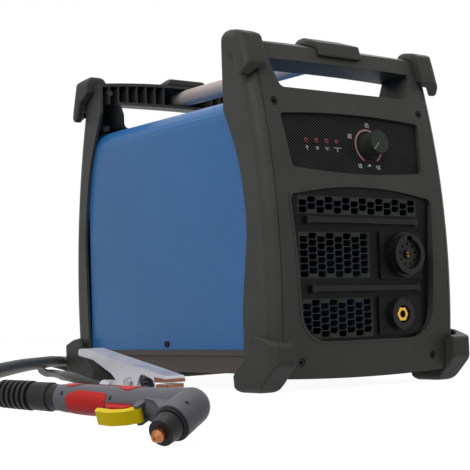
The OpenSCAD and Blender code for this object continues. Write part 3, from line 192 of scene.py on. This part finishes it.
def moulded(name, color, rough, grain, depth, coat=0.0, var=0.12):
    """Moulded plastic or rubber: fine grain, slow clouds of colour and gloss, and faint handling marks."""
    g = Graph(name)
    c = srgb(color)
    slow = g.noise(14, 3)
    fine = g.noise(grain * 0.4, 4, 0.6)
    pits = g.cells(grain)
    shade = g.mix(g.map(slow, 0.35, 0.65), tint(c, 1 - var), tint(c, 1 + var))
    scuff = g.noise(60, 6, 0.7, g.stretch((1, 1, 4)))
    shade = g.mix(g.map(scuff, 0.62, 0.8, 0, 0.25), shade, tint(c, 1.5))
    height = g.math("ADD", g.math("MULTIPLY", fine, 0.6), pits)
    return g.set(color=shade, rough=g.map(g.noise(220, 4), 0.3, 0.7, rough - 0.07, rough + 0.07),
                 normal=g.bump(height, depth, 0.00025), coat=coat, coat_rough=0.25, specular=0.22)


def painted(name, color, rough=0.36, peel=0.08):
    """Powder-coated sheet: orange peel, slow tone changes and sparse fine scratches."""
    g = Graph(name)
    c = srgb(color)
    slow = g.noise(5, 2)
    ripple = g.noise(420, 2)
    shade = g.mix(g.map(slow, 0.3, 0.7), tint(c, 0.93), tint(c, 1.06))
    scratch = g.noise(18, 8, 0.75, g.stretch((1, 40, 1), (0.3, 0.2, 0.5)))
    shade = g.mix(g.map(scratch, 0.7, 0.78, 0, 0.18), shade, tint(c, 1.35))
    return g.set(color=shade, rough=g.map(g.noise(90, 3), 0.3, 0.7, rough - 0.05, rough + 0.06),
                 normal=g.bump(ripple, peel, 0.0004), coat=0.04, coat_rough=0.2, specular=0.3)


def metal(name, color, rough, brushed=0.0, along=(1, 60, 60), dark=0.7):
    """Bare or plated metal with fine brushing and blotchy tarnish."""
    g = Graph(name)
    c = srgb(color)
    blot = g.noise(90, 5, 0.6)
    shade = g.mix(g.map(blot, 0.4, 0.75), c, tint(c, dark))
    height = g.noise(120, 3, 0.6, g.stretch(along)) if brushed else g.noise(700, 3)
    return g.set(color=shade, metal=1.0, rough=g.map(blot, 0.3, 0.7, rough - 0.06, rough + 0.1),
                 normal=g.bump(height, 0.06 + brushed, 0.0002))


# Stripes of the panel's film
STRIPE_TURN = math.radians(-52)
STRIPE_SCALE = 125.0


def panel_material():
    """Glossy black film with fine diagonal grey stripes."""
    g = Graph("control_panel_film")
    line = g.stripes(STRIPE_SCALE, g.stretch(turn=(0, STRIPE_TURN, 0)))
    soft = g.noise(35, 3)
    strip = g.math("MULTIPLY", g.map(line, 0.5, 1.0), g.map(soft, 0.25, 0.75, 0.6, 1.0))
    shade = g.mix(strip, srgb("#030304"), srgb("#565556"))
    return g.set(color=shade, rough=g.map(line, 0, 1, 0.36, 0.5), specular=0.05,
                 normal=g.bump(line, 0.12, 0.0002))


# Fields of the honeycomb, whose web faces get a painted highlight: left, right, low and top edge in mm
WEB_FIELDS = ((-99, 91, 204.5, 225.5), (-99.5, 10, 129.5, 183), (-97.5, 12, 59.5, 105))
# Everything on the grille in front of this Y, in mm, belongs to its two bars, which get a painted highlight
BAR_FRONT_Y = -219.3


def inside(g, at, low, high):
    """1 where the coordinate lies between two places in mm."""
    return g.math("MULTIPLY", g.math("GREATER_THAN", at, low * MM), g.math("LESS_THAN", at, high * MM))


def grille_material():
    """Black grille plastic: the honeycomb's web faces and the two bar faces are painted paler than the flat
    parts, a painted highlight for the light they catch.
    """
    g = Graph("grille_plastic_painted_highlights_and_grain")
    split = g.node("ShaderNodeSeparateXYZ")
    g.link(g.coord, split.inputs[0])
    x, y, z = split.outputs
    # Painted highlight: the web faces are painted paler for the light they catch
    web_highlight = 0.0
    for x0, x1, z0, z1 in WEB_FIELDS:
        web_highlight = g.math("ADD", web_highlight, g.math("MULTIPLY", inside(g, x, x0, x1), inside(g, z, z0, z1)))
    # Painted highlight: the bar faces in front are painted paler too
    bar_highlight = g.math("LESS_THAN", y, BAR_FRONT_Y * MM)
    shade = g.mix(web_highlight, srgb("#0d0e0d"), srgb("#424541"))
    shade = g.mix(bar_highlight, shade, srgb("#2f312e"))
    shade = g.mix(g.map(g.noise(60, 5, 0.7), 0.6, 0.8, 0, 0.2), shade, srgb("#4a4c49"))
    return g.set(color=shade, rough=g.map(g.noise(220, 4), 0.3, 0.7, 0.4, 0.54), specular=0.12,
                 normal=g.bump(g.cells(1800), 0.16, 0.00025))


def board_material(name):
    """Green circuit board with tracks."""
    g = Graph(name)
    track = g.map(g.cells(160, "DISTANCE_TO_EDGE"), 0.02, 0.07)
    shade = g.mix(track, srgb("#4a8a52"), srgb("#174a28"))
    return g.set(color=shade, rough=g.map(g.noise(300, 2), 0.3, 0.7, 0.3, 0.45),
                 normal=g.bump(track, 0.15, 0.0002))


def print_ink(name, color):
    """Screen-printed ink, slightly uneven."""
    g = Graph(name)
    c = srgb(color)
    return g.set(color=g.mix(g.map(g.noise(900, 3), 0.3, 0.7), tint(c, 0.86), c), rough=0.45,
                 normal=g.bump(g.noise(2000, 2), 0.05, 0.0001))


MAT = {
    "frame": moulded("frame_plastic", "#42433f", 0.50, 1500, 0.22),
    "bumper": moulded("bumper_rubber", "#3c3c3a", 0.56, 1100, 0.30),
    "cover_paint": painted("cover_paint_coat", "#3475b5"),
    "tube": painted("tube_enamel", "#d3c4bd", 0.42, 0.05),
    "pan": painted("pan_coat", "#4a443e", 0.45, 0.10),
    "screw_steel": metal("black_oxide_steel", "#2a2a2a", 0.38),
    "grille_plastic": grille_material(),
    "panel": panel_material(),
    "knob": moulded("knob_plastic", "#2c302c", 0.55, 2200, 0.25),
    "potentiometer": metal("potentiometer_metal", "#a5a5a0", 0.35),
    "board": board_material("circuit_board"),
    "lights": moulded("light_lens", "#3a2426", 0.22, 500, 0.05, 0.3, 0.04),
    "socket_black": moulded("socket_plastic", "#151514", 0.36, 1700, 0.10),
    "brass": metal("brass_turned", "#d6a94a", 0.22, 0.1, (60, 1, 60), 0.75),
    "fan": moulded("fan_plastic", "#222224", 0.45, 1500, 0.15),
    "rocker": moulded("rocker_plastic", "#9e1c1a", 0.3, 900, 0.05, 0.5),
    "regulator": metal("regulator_casting", "#8d9093", 0.42),
    "gauge": metal("gauge_bezel", "#c9c9c6", 0.2),
    "valve": metal("valve_brass", "#8d7a4a", 0.4),
    "pillar": metal("pillar_brass", "#b59a62", 0.35),
    "capacitor": moulded("capacitor_sleeve", "#26303c", 0.35, 1200, 0.05, 0.4),
    "sink": metal("heat_sink_extrusion", "#aeb1b4", 0.35, 0.2, (60, 1, 60)),
    "transformer": moulded("transformer_core", "#3b3d40", 0.6, 700, 0.3),
    "copper": metal("choke_winding", "#b87a45", 0.35, 0.3, (60, 1, 1)),
    "torch_grey": moulded("torch_plastic", "#66666c", 0.48, 1900, 0.22),
    "torch_red": moulded("torch_grip_rubber", "#cb2a27", 0.42, 1500, 0.12, 0.0, 0.08),
    "torch_yellow": moulded("lever_plastic", "#f2d500", 0.4, 1500, 0.10, 0.0, 0.06),
    "torch_black": moulded("cap_plastic", "#1c1c1d", 0.42, 1700, 0.15),
    "copper_tip": metal("copper_tip_turned", "#b4744c", 0.3, 0.15, (60, 60, 1), 0.5),
    "boot": moulded("boot_rubber", "#232324", 0.5, 1300, 0.2),
    "cord": moulded("cord_sheath", "#3b3b38", 0.52, 1600, 0.12),
    "clamp_steel": metal("clamp_plating", "#c4c3cb", 0.36, 0.0, (1, 60, 60), 0.9),
    "steel": metal("pin_steel", "#a9a9ac", 0.3),
}
RED_INK = print_ink("red_print", "#c84654")
PINK_INK = print_ink("pink_print", "#b9959c")
JAW_COPPER = metal("jaw_copper", "#8c634e", 0.34, 0.1, (1, 60, 60), 0.6)
WHITE_INK = print_ink("white_print", "#e8e8e6")

for name, obj in NODES.items():
    mat = MAT[SLOT[name]]
    if not obj.material_slots:
        obj.data.materials.append(mat)
    for s in obj.material_slots:
        s.material = mat


# ---- Making pieces ----

def link_object(name, data):
    o = bpy.data.objects.new(name, data)
    bpy.context.scene.collection.objects.link(o)
    return o


def finish_piece(o, body, slot, mat=None):
    o.data.materials.clear()
    o.data.materials.append(mat or MAT[slot])
    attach(o, body)
    return o


def mesh_piece(name, verts, faces, body, slot, mat=None):
    me = bpy.data.meshes.new(name)
    me.from_pydata([tuple(v) for v in verts], [], faces)
    me.validate()
    bm = bmesh.new()
    bm.from_mesh(me)
    bmesh.ops.recalc_face_normals(bm, faces=bm.faces)
    bm.to_mesh(me)
    bm.free()
    return finish_piece(link_object(name, me), body, slot, mat)


def side_walls(a, b, n):
    """Quads that join two rings of n points, which start at points a and b."""
    return [[a + i, a + (i + 1) % n, b + (i + 1) % n, b + i] for i in range(n)]


# ---- Cords ----
# The same points as the part's own cord routes, in mm
LEAD_D, CABLE_D = 14.4, 9.6
LEAD_ROUTE = [(-589.3, -468, 33.4), (-594, -457, 34), (-599, -445, 34.6), (-604, -424, 36),
              (-602, -398, 38), (-590, -371, 39.5), (-572, -343, 41), (-545, -305, 42), (-500, -242, 42),
              (-440, -158, 42), (-368, -54, 41), (-295, 50, 39), (-225, 150, 37), (-199, 187, 35.8),
              (-176.5, 219.6, 34.7), (-165, 236, 34), (-151.9, 249.6, 33), (-134.3, 258.8, 31.5),
              (-115.8, 261.7, 29.5), (-97, 262.8, 27), (-70, 265, 20.5), (-44, 269.5, 13), (-18, 275, 8.8),
              (8, 277.7, 7.4), (35.6, 278, 7.4)]
CABLE_ROUTE = [(-432.6, -346.3, 27), (-433.9, -336.4, 27), (-435.3, -324.4, 28), (-437, -308, 30.5),
               (-435, -285, 34), (-426, -253, 35), (-403, -203, 33.5), (-372, -145, 31), (-335, -75, 28.5),
               (-300, -5, 26.5), (-275, 55, 25.5), (-262, 95, 24.5), (-248, 135, 27), (-227, 175, 31),
               (-202, 213, 33), (-178, 245.3, 32), (-153.8, 267.5, 28), (-126.4, 278, 21), (-104, 277, 14),
               (-83, 269.5, 8.5), (-60, 261.5, 5.8), (-36, 257.5, 5), (0, 257, 5), (50, 261, 5),
               (100, 266, 5), (150, 277, 5), (185, 282, 5), (215.4, 283, 5)]
ROUTE_STEPS = 6
COIL_TURNS, COIL_STEPS = 5.25, 48
COIL_GAP, FLOOR_GAP = 0.6, 0.2
TAIL_STEPS = 6


def smooth_line(points):
    """A smooth curve through all the points, as short straight steps."""
    p = [Vector(v) for v in points]
    out = []
    for i in range(len(p) - 1):
        a, b, c, d = p[max(i - 1, 0)], p[i], p[i + 1], p[min(i + 2, len(p) - 1)]
        for k in range(ROUTE_STEPS):
            t = k / ROUTE_STEPS
            out.append(0.5 * (2 * b + (c - a) * t + (2 * a - 5 * b + 4 * c - d) * t * t
                              + (3 * b - a - 3 * c + d) * t ** 3))
    return out + [p[-1]]


def coil_line(at, r, d, tail):
    """A flat coil in two layers, wound inwards below and outwards above, with a straight tail."""
    pitch = rise = d + COIL_GAP
    low = d / 2 + FLOOR_GAP
    out = []
    for i in range(int(COIL_TURNS * COIL_STEPS) + 1):
        t = i / COIL_STEPS
        q = r - pitch * min(t, COIL_TURNS - t)
        a = math.radians(360 * t - 90)
        up = min(max(2 * (t - COIL_TURNS / 2) + 0.5, 0), 1)
        out.append(Vector((at[0] + q * math.cos(a), at[1] + q * math.sin(a), low + rise * up)))
    a = math.radians(360 * COIL_TURNS - 90)
    end = Vector((at[0] + r * math.cos(a) - tail * math.sin(a), at[1] + r * math.sin(a) + tail * math.cos(a),
                  low + rise))
    last = out[-1]
    return out + [last.lerp(end, k / TAIL_STEPS) for k in range(1, TAIL_STEPS + 1)]


def cord_piece(name, points, d):
    cu = bpy.data.curves.new(name, "CURVE")
    cu.dimensions = "3D"
    cu.bevel_depth = d / 2 * MM
    cu.bevel_resolution = 5
    cu.use_fill_caps = True
    sp = cu.splines.new("POLY")
    sp.points.add(len(points) - 1)
    for i, p in enumerate(points):
        sp.points[i].co = (p.x * MM, p.y * MM, p.z * MM, 1)
    sp.use_smooth = True
    return finish_piece(link_object(name, cu), "case", "cord")


lead_line = smooth_line(LEAD_ROUTE) + coil_line((50, 370), 92, LEAD_D, 86)
cable_line = smooth_line(CABLE_ROUTE) + coil_line((225, 345), 62, CABLE_D, 56)
lead = cord_piece("lead_sheath", lead_line, LEAD_D)
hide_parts("torch_lead", "torch_lead_coil")
cable = cord_piece("cable_sheath", cable_line, CABLE_D)
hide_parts("earth_cable", "earth_cable_coil")


# ---- Softened copies of the moulded pieces ----
WELD_M, VOXEL_M = 1e-5, 0.0012


def soften(node, rounds):
    """A copy of a CAD node remeshed to even quads, with its edges rubbed round."""
    me = NODES[node].data.copy()
    me.name = node + "_soft"
    if "custom_normal" in me.attributes:
        me.attributes.remove(me.attributes["custom_normal"])
    bm = bmesh.new()
    bm.from_mesh(me)
    bmesh.ops.remove_doubles(bm, verts=bm.verts, dist=WELD_M)
    bm.to_mesh(me)
    bm.free()
    o = link_object(node + "_soft", me)
    remesh = o.modifiers.new("remesh", "REMESH")
    remesh.mode = "VOXEL"
    remesh.voxel_size = VOXEL_M
    smooth = o.modifiers.new("smooth", "SMOOTH")
    smooth.factor = 0.5
    smooth.iterations = rounds
    deps = bpy.context.evaluated_depsgraph_get()
    done = bpy.data.meshes.new_from_object(o.evaluated_get(deps))
    o.modifiers.clear()
    o.data = done
    bpy.data.meshes.remove(me)
    done.polygons.foreach_set("use_smooth", [True] * len(done.polygons))
    finish_piece(o, BODY[node], SLOT[node])
    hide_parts(node)


for corner in ("front_left", "front_right", "rear_left", "rear_right"):
    soften("top_bumper_" + corner, 6)
    soften("foot_bumper_" + corner, 6)
for end in ("front", "rear"):
    soften(end + "_saddle_cap", 5)


# ---- Panel print ----
# The frame's face is part of a cylinder along X, in mm; the panel is tilted like its middle and set back
FACE_R, FACE_Y, FACE_MID_Z = 1000, 225, 122
PANEL_Z, PANEL_SET_BACK = 290, 5
PANEL_TILT = math.asin((PANEL_Z - FACE_MID_Z) / FACE_R)
PRINT_T, PRINT_GAP = 0.08, 0.01


def face(z):
    """How far the frame's face stands in front of the middle plane."""
    return FACE_Y - FACE_R + math.sqrt(FACE_R ** 2 - (z - FACE_MID_Z) ** 2)


def on_panel(x, z, out):
    """A point on the control panel, in metres: across, up, and out of the panel."""
    c, s = math.cos(PANEL_TILT), math.sin(PANEL_TILT)
    return Vector((x, PANEL_SET_BACK - face(PANEL_Z) - out * c + z * s, PANEL_Z + out * s + z * c)) * MM


def plate(name, outlines, mat):
    """Thin printed shapes on the panel."""
    verts, faces = [], []
    for outline in outlines:
        n, base = len(outline), len(verts)
        verts += [on_panel(x, z, PRINT_T) for x, z in outline]
        verts += [on_panel(x, z, PRINT_GAP) for x, z in outline]
        faces.append([base + i for i in range(n)])
        faces += side_walls(base, base + n, n)
    mesh_piece(name, verts, faces, "case", "panel", mat)


def arc(cx, cz, r, a0, a1, n):
    return [(cx + r * math.cos(math.radians(a0 + (a1 - a0) * i / n)),
             cz + r * math.sin(math.radians(a0 + (a1 - a0) * i / n))) for i in range(n + 1)]


def band(cx, cz, r0, r1, a0, a1, n):
    """Outline of a band between two radii."""
    return arc(cx, cz, r1, a0, a1, n) + arc(cx, cz, r0, a1, a0, n)


def ring(cx, cz, r0, r1, n):
    return band(cx, cz, r0, r1, 0, 359.9, n)


def bar(x0, z0, x1, z1, w):
    """Outline of a straight stroke of width w."""
    d = Vector((x1 - x0, z1 - z0)).normalized()
    n = Vector((-d.y, d.x)) * w / 2
    return [(x0 + n.x, z0 + n.y), (x0 - n.x, z0 - n.y), (x1 - n.x, z1 - n.y), (x1 + n.x, z1 + n.y)]


# The dial: angles in degrees from +X, and the part at each end of the arc that is red
KNOB_X = 25
ARC_R0, ARC_R1, ARC_RIM_R0, ARC_RIM_R1 = 19.6, 21.6, 21.7, 22.1
ARC_FROM, ARC_TO, ARC_RED_END = 236, -56, 6
LIGHTS_X = [-50 + i * 15.8 for i in (-1.5, -0.5, 0.5, 1.5)]
LIGHTS_Z, MARKS_Z = 3, -6.5

plate("dial_arc", [band(KNOB_X, 0, ARC_R0, ARC_R1, ARC_FROM, ARC_TO, 96)], PINK_INK)
plate("dial_arc_edge",
      [band(KNOB_X, 0, ARC_RIM_R0, ARC_RIM_R1, ARC_FROM + ARC_RED_END, ARC_TO - ARC_RED_END, 96)]
      + [band(KNOB_X, 0, ARC_R0, ARC_R1, a, a + ARC_RED_END, 6) for a in (ARC_FROM, ARC_TO - ARC_RED_END)],
      RED_INK)
plate("light_rings", [ring(x, LIGHTS_Z, 2.0, 2.7, 32) for x in LIGHTS_X], RED_INK)


def light_marks():
    """The plain sign under each light, from left to right."""
    a, b, c, d = LIGHTS_X
    z = MARKS_Z
    return [
        ring(a, z + 0.8, 1.1, 1.7, 20), bar(a, z - 1, a, z - 3.2, 0.6),
        ring(b, z, 1.7, 2.2, 20), bar(b - 0.9, z - 0.9, b + 0.9, z + 0.9, 0.5),
        bar(c - 3, z + 2, c - 1.2, z - 2, 0.6), bar(c - 1.2, z - 2, c + 0.2, z + 2, 0.6),
        bar(c + 1.4, z + 1.4, c + 3.2, z + 1.4, 0.6), bar(c + 1.4, z - 1.2, c + 3.2, z - 1.2, 0.6),
        bar(d - 5.5, z + 1.6, d + 6.5, z + 1.6, 0.6), bar(d, z + 1.6, d, z - 3.4, 0.6),
        bar(d - 1.6, z - 1.6, d, z - 3.4, 0.5)]


# The wedge below the knob and the tick at its right
WEDGE = [(KNOB_X - 7.5, -25.6), (KNOB_X - 0.5, -25.6), (KNOB_X - 2.0, -22.4)]
TICK = bar(KNOB_X + 24.5, 8.6, KNOB_X + 26, 9.2, 0.8)
plate("panel_marks", light_marks() + [WEDGE, TICK], WHITE_INK)

# Strokes of each digit in a box 1 wide and 2 high
STROKES = {
    "0": [(0, 0, 1, 0), (1, 0, 1, 2), (1, 2, 0, 2), (0, 2, 0, 0)],
    "1": [(0.5, 0, 0.5, 2), (0.1, 1.6, 0.5, 2)],
    "2": [(0, 2, 1, 2), (1, 2, 1, 1), (1, 1, 0, 1), (0, 1, 0, 0), (0, 0, 1, 0)],
    "4": [(0, 2, 0, 0.8), (0, 0.8, 1, 0.8), (0.75, 1.3, 0.75, 0)],
    "5": [(1, 2, 0, 2), (0, 2, 0, 1.1), (0, 1.1, 1, 1.1), (1, 1.1, 1, 0), (1, 0, 0, 0)],
}
# A digit is twice as high as it is wide. Its strokes run past their ends by a share of the width
DIGIT_W, DIGIT_GAP, CENTRING_GAP = 2.2, 0.9, 0.7
STROKE_W, STROKE_PAST_END = 0.8, 0.12


def number(text, x, z):
    """Outlines of a two-digit number about a point."""
    out = []
    left = x - (len(text) * DIGIT_W + (len(text) - 1) * CENTRING_GAP) / 2
    low = z - DIGIT_W
    for ch in text:
        for x0, z0, x1, z1 in STROKES[ch]:
            d = Vector((x1 - x0, z1 - z0)).normalized() * STROKE_PAST_END
            out.append(bar(left + (x0 - d.x) * DIGIT_W, low + (z0 - d.y) * DIGIT_W,
                           left + (x1 + d.x) * DIGIT_W, low + (z1 + d.y) * DIGIT_W, STROKE_W))
        left += DIGIT_W + DIGIT_GAP
    return out


plate("dial_numbers", number("10", KNOB_X - 19, -25.6) + number("20", KNOB_X - 28.6, 11.4)
      + number("25", KNOB_X + 2.4, 27.2) + number("40", KNOB_X + 10.8, -26.2), WHITE_INK)

# The pointer in the knob's groove: its angle, its ends from the axis, half its width, how deep it lies
POINTER_ANGLE = math.radians(225)
POINTER_R0, POINTER_R1, POINTER_HALF_W, POINTER_SINK = 1.2, 13.4, 0.5, 0.45
KNOB_GAP, KNOB_H = 0.6, 20


def knob_mark():
    """Pointer line in the knob's groove: it turns with the knob."""
    c, s = math.cos(POINTER_ANGLE), math.sin(POINTER_ANGLE)
    out = KNOB_GAP + KNOB_H - POINTER_SINK
    corners = [(POINTER_R0, -POINTER_HALF_W), (POINTER_R0, POINTER_HALF_W),
               (POINTER_R1, POINTER_HALF_W), (POINTER_R1, -POINTER_HALF_W)]
    verts = [on_panel(KNOB_X + r * c - side * s, r * s + side * c, out) for r, side in corners]
    mesh_piece("knob_pointer", verts, [[0, 1, 2, 3]], "knob", "knob", WHITE_INK)


knob_mark()


# ---- Brass sleeve in the middle of the torch socket ----
SOCKET_X, SOCKET_Z = 63, 157
SLEEVE_R0, SLEEVE_R1 = 1.6, 3.4
SLEEVE_FRONT_Y, SLEEVE_REAR_Y = -228, -214


def sleeve(name, n=32):
    verts, faces = [], []
    for y, r in ((SLEEVE_FRONT_Y, SLEEVE_R1), (SLEEVE_REAR_Y, SLEEVE_R1),
                 (SLEEVE_REAR_Y, SLEEVE_R0), (SLEEVE_FRONT_Y, SLEEVE_R0)):
        verts += [Vector((SOCKET_X + r * math.cos(2 * math.pi * i / n), y,
                          SOCKET_Z + r * math.sin(2 * math.pi * i / n))) * MM for i in range(n)]
    for k in range(4):
        faces += side_walls(k * n, (k + 1) % 4 * n, n)
    mesh_piece(name, verts, faces, "case", "brass")


sleeve("socket_sleeve")


# ---- Copper jaws of the earth clamp ----
# In the clamp's own frame, in mm: along it, across it, and up
CLAMP_AT, CLAMP_TURN = Vector((-428, -384, 32)), math.radians(-83)
JAW_GAP, JAW_T = 0.02, 0.2
JAW_CHEEK = [(35.5, 0.9), (50.6, 0.9), (50.6, 3.6), (35.5, 5.4)]
JAW_NOSE_LOW, JAW_NOSE_TOP = 0.8, 3.8
JAW_NOSE_AT = (51.05, 51.3)


def on_clamp(x, y, z):
    c, s = math.cos(CLAMP_TURN), math.sin(CLAMP_TURN)
    return (CLAMP_AT + Vector((x * c - y * s, x * s + y * c, z))) * MM


def jaw_cover(name, half, side, body):
    """Copper shoe round the jaw end of one arm: two cheeks and a nose."""
    verts, faces = [], []
    for s in (-1, 1):
        for out in (half + JAW_GAP, half + JAW_T):
            verts += [on_clamp(x, s * out, side * z) for x, z in JAW_CHEEK]
    nose = [(-half, JAW_NOSE_LOW), (half, JAW_NOSE_LOW), (half, JAW_NOSE_TOP), (-half, JAW_NOSE_TOP)]
    for x in JAW_NOSE_AT:
        verts += [on_clamp(x, y, side * z) for y, z in nose]
    for k in (0, 8, 16):
        faces += [[k, k + 1, k + 2, k + 3], [k + 4, k + 5, k + 6, k + 7]]
        faces += side_walls(k, k + 4, 4)
    mesh_piece(name, verts, faces, body, "copper_tip", JAW_COPPER)


jaw_cover("upper_jaw_copper", 10.75, 1, "clamp_arm")
jaw_cover("lower_jaw_copper", 8.95, -1, "case")


# ---- Stage ----

def light(name, place, target, energy, size):
    """A rectangular lamp: place and target in metres, energy in watts, size in metres."""
    data = bpy.data.lights.new(name, "AREA")
    data.energy = energy
    data.shape = "RECTANGLE"
    data.size, data.size_y = size
    o = link_object(name, data)
    o.location = place
    o.rotation_euler = (Vector(target) - Vector(place)).to_track_quat("-Z", "Y").to_euler()


light("key", (-2.8, -1.2, 2.0), (-0.1, 0, 0.2), 40, (2.2, 1.6))
light("front", (-1.6, -3.0, 1.9), (0, -0.1, 0.2), 9, (1.6, 1.2))
light("top", (-0.2, -0.2, 2.6), (0, 0, 0.2), 20, (2.0, 2.0))
light("rim", (2.4, 1.2, 1.8), (0, 0, 0.3), 12, (1.2, 1.8))


def camera_like(tree):
    """1 for rays that look at the backdrop: straight from the camera, mirrored or through glass."""
    lp = tree.nodes.new("ShaderNodeLightPath")
    a = tree.nodes.new("ShaderNodeMath")
    a.operation = "MAXIMUM"
    b = tree.nodes.new("ShaderNodeMath")
    b.operation = "MAXIMUM"
    tree.links.new(lp.outputs["Is Camera Ray"], a.inputs[0])
    tree.links.new(lp.outputs["Is Glossy Ray"], a.inputs[1])
    tree.links.new(a.outputs[0], b.inputs[0])
    tree.links.new(lp.outputs["Is Transmission Ray"], b.inputs[1])
    return b.outputs[0]


# What lights the part from all round, against the white that the camera sees
FILL_COLOR, FILL_STRENGTH = (0.95, 0.97, 1.0, 1), 0.2
FLOOR_GREY, FLOOR_GLOW = 0.26, 0.94
FLOOR_HALF = 8


def make_world():
    world = bpy.data.worlds.new("studio")
    world.use_nodes = True
    tree = world.node_tree
    tree.nodes.clear()
    out = tree.nodes.new("ShaderNodeOutputWorld")
    mix = tree.nodes.new("ShaderNodeMixShader")
    fill = tree.nodes.new("ShaderNodeBackground")
    fill.inputs[0].default_value = FILL_COLOR
    fill.inputs[1].default_value = FILL_STRENGTH
    white = tree.nodes.new("ShaderNodeBackground")
    white.inputs[0].default_value = (1, 1, 1, 1)
    white.inputs[1].default_value = 1.0
    tree.links.new(camera_like(tree), mix.inputs[0])
    tree.links.new(fill.outputs[0], mix.inputs[1])
    tree.links.new(white.outputs[0], mix.inputs[2])
    tree.links.new(mix.outputs[0], out.inputs[0])
    bpy.context.scene.world = world


def floor_material():
    """Grey for the light it sends back to the part, nearly white for the camera."""
    mat = bpy.data.materials.new("floor_pale")
    mat.use_nodes = True
    tree = mat.node_tree
    tree.nodes.clear()
    out = tree.nodes.new("ShaderNodeOutputMaterial")
    add = tree.nodes.new("ShaderNodeAddShader")
    diffuse = tree.nodes.new("ShaderNodeBsdfDiffuse")
    diffuse.inputs[0].default_value = (FLOOR_GREY, FLOOR_GREY, FLOOR_GREY, 1)
    glow = tree.nodes.new("ShaderNodeEmission")
    strength = tree.nodes.new("ShaderNodeMath")
    strength.operation = "MULTIPLY"
    strength.inputs[1].default_value = FLOOR_GLOW
    tree.links.new(camera_like(tree), strength.inputs[0])
    tree.links.new(strength.outputs[0], glow.inputs[1])
    tree.links.new(diffuse.outputs[0], add.inputs[0])
    tree.links.new(glow.outputs[0], add.inputs[1])
    tree.links.new(add.outputs[0], out.inputs[0])
    return mat


make_world()
floor_me = bpy.data.meshes.new("floor")
floor_me.from_pydata([(x * FLOOR_HALF, y * FLOOR_HALF, 0) for x, y in ((-1, -1), (1, -1), (1, 1), (-1, 1))],
                     [], [[0, 1, 2, 3]])
floor = link_object("floor", floor_me)
floor_me.materials.append(floor_material())

bpy.context.scene.view_settings.view_transform = "Standard"
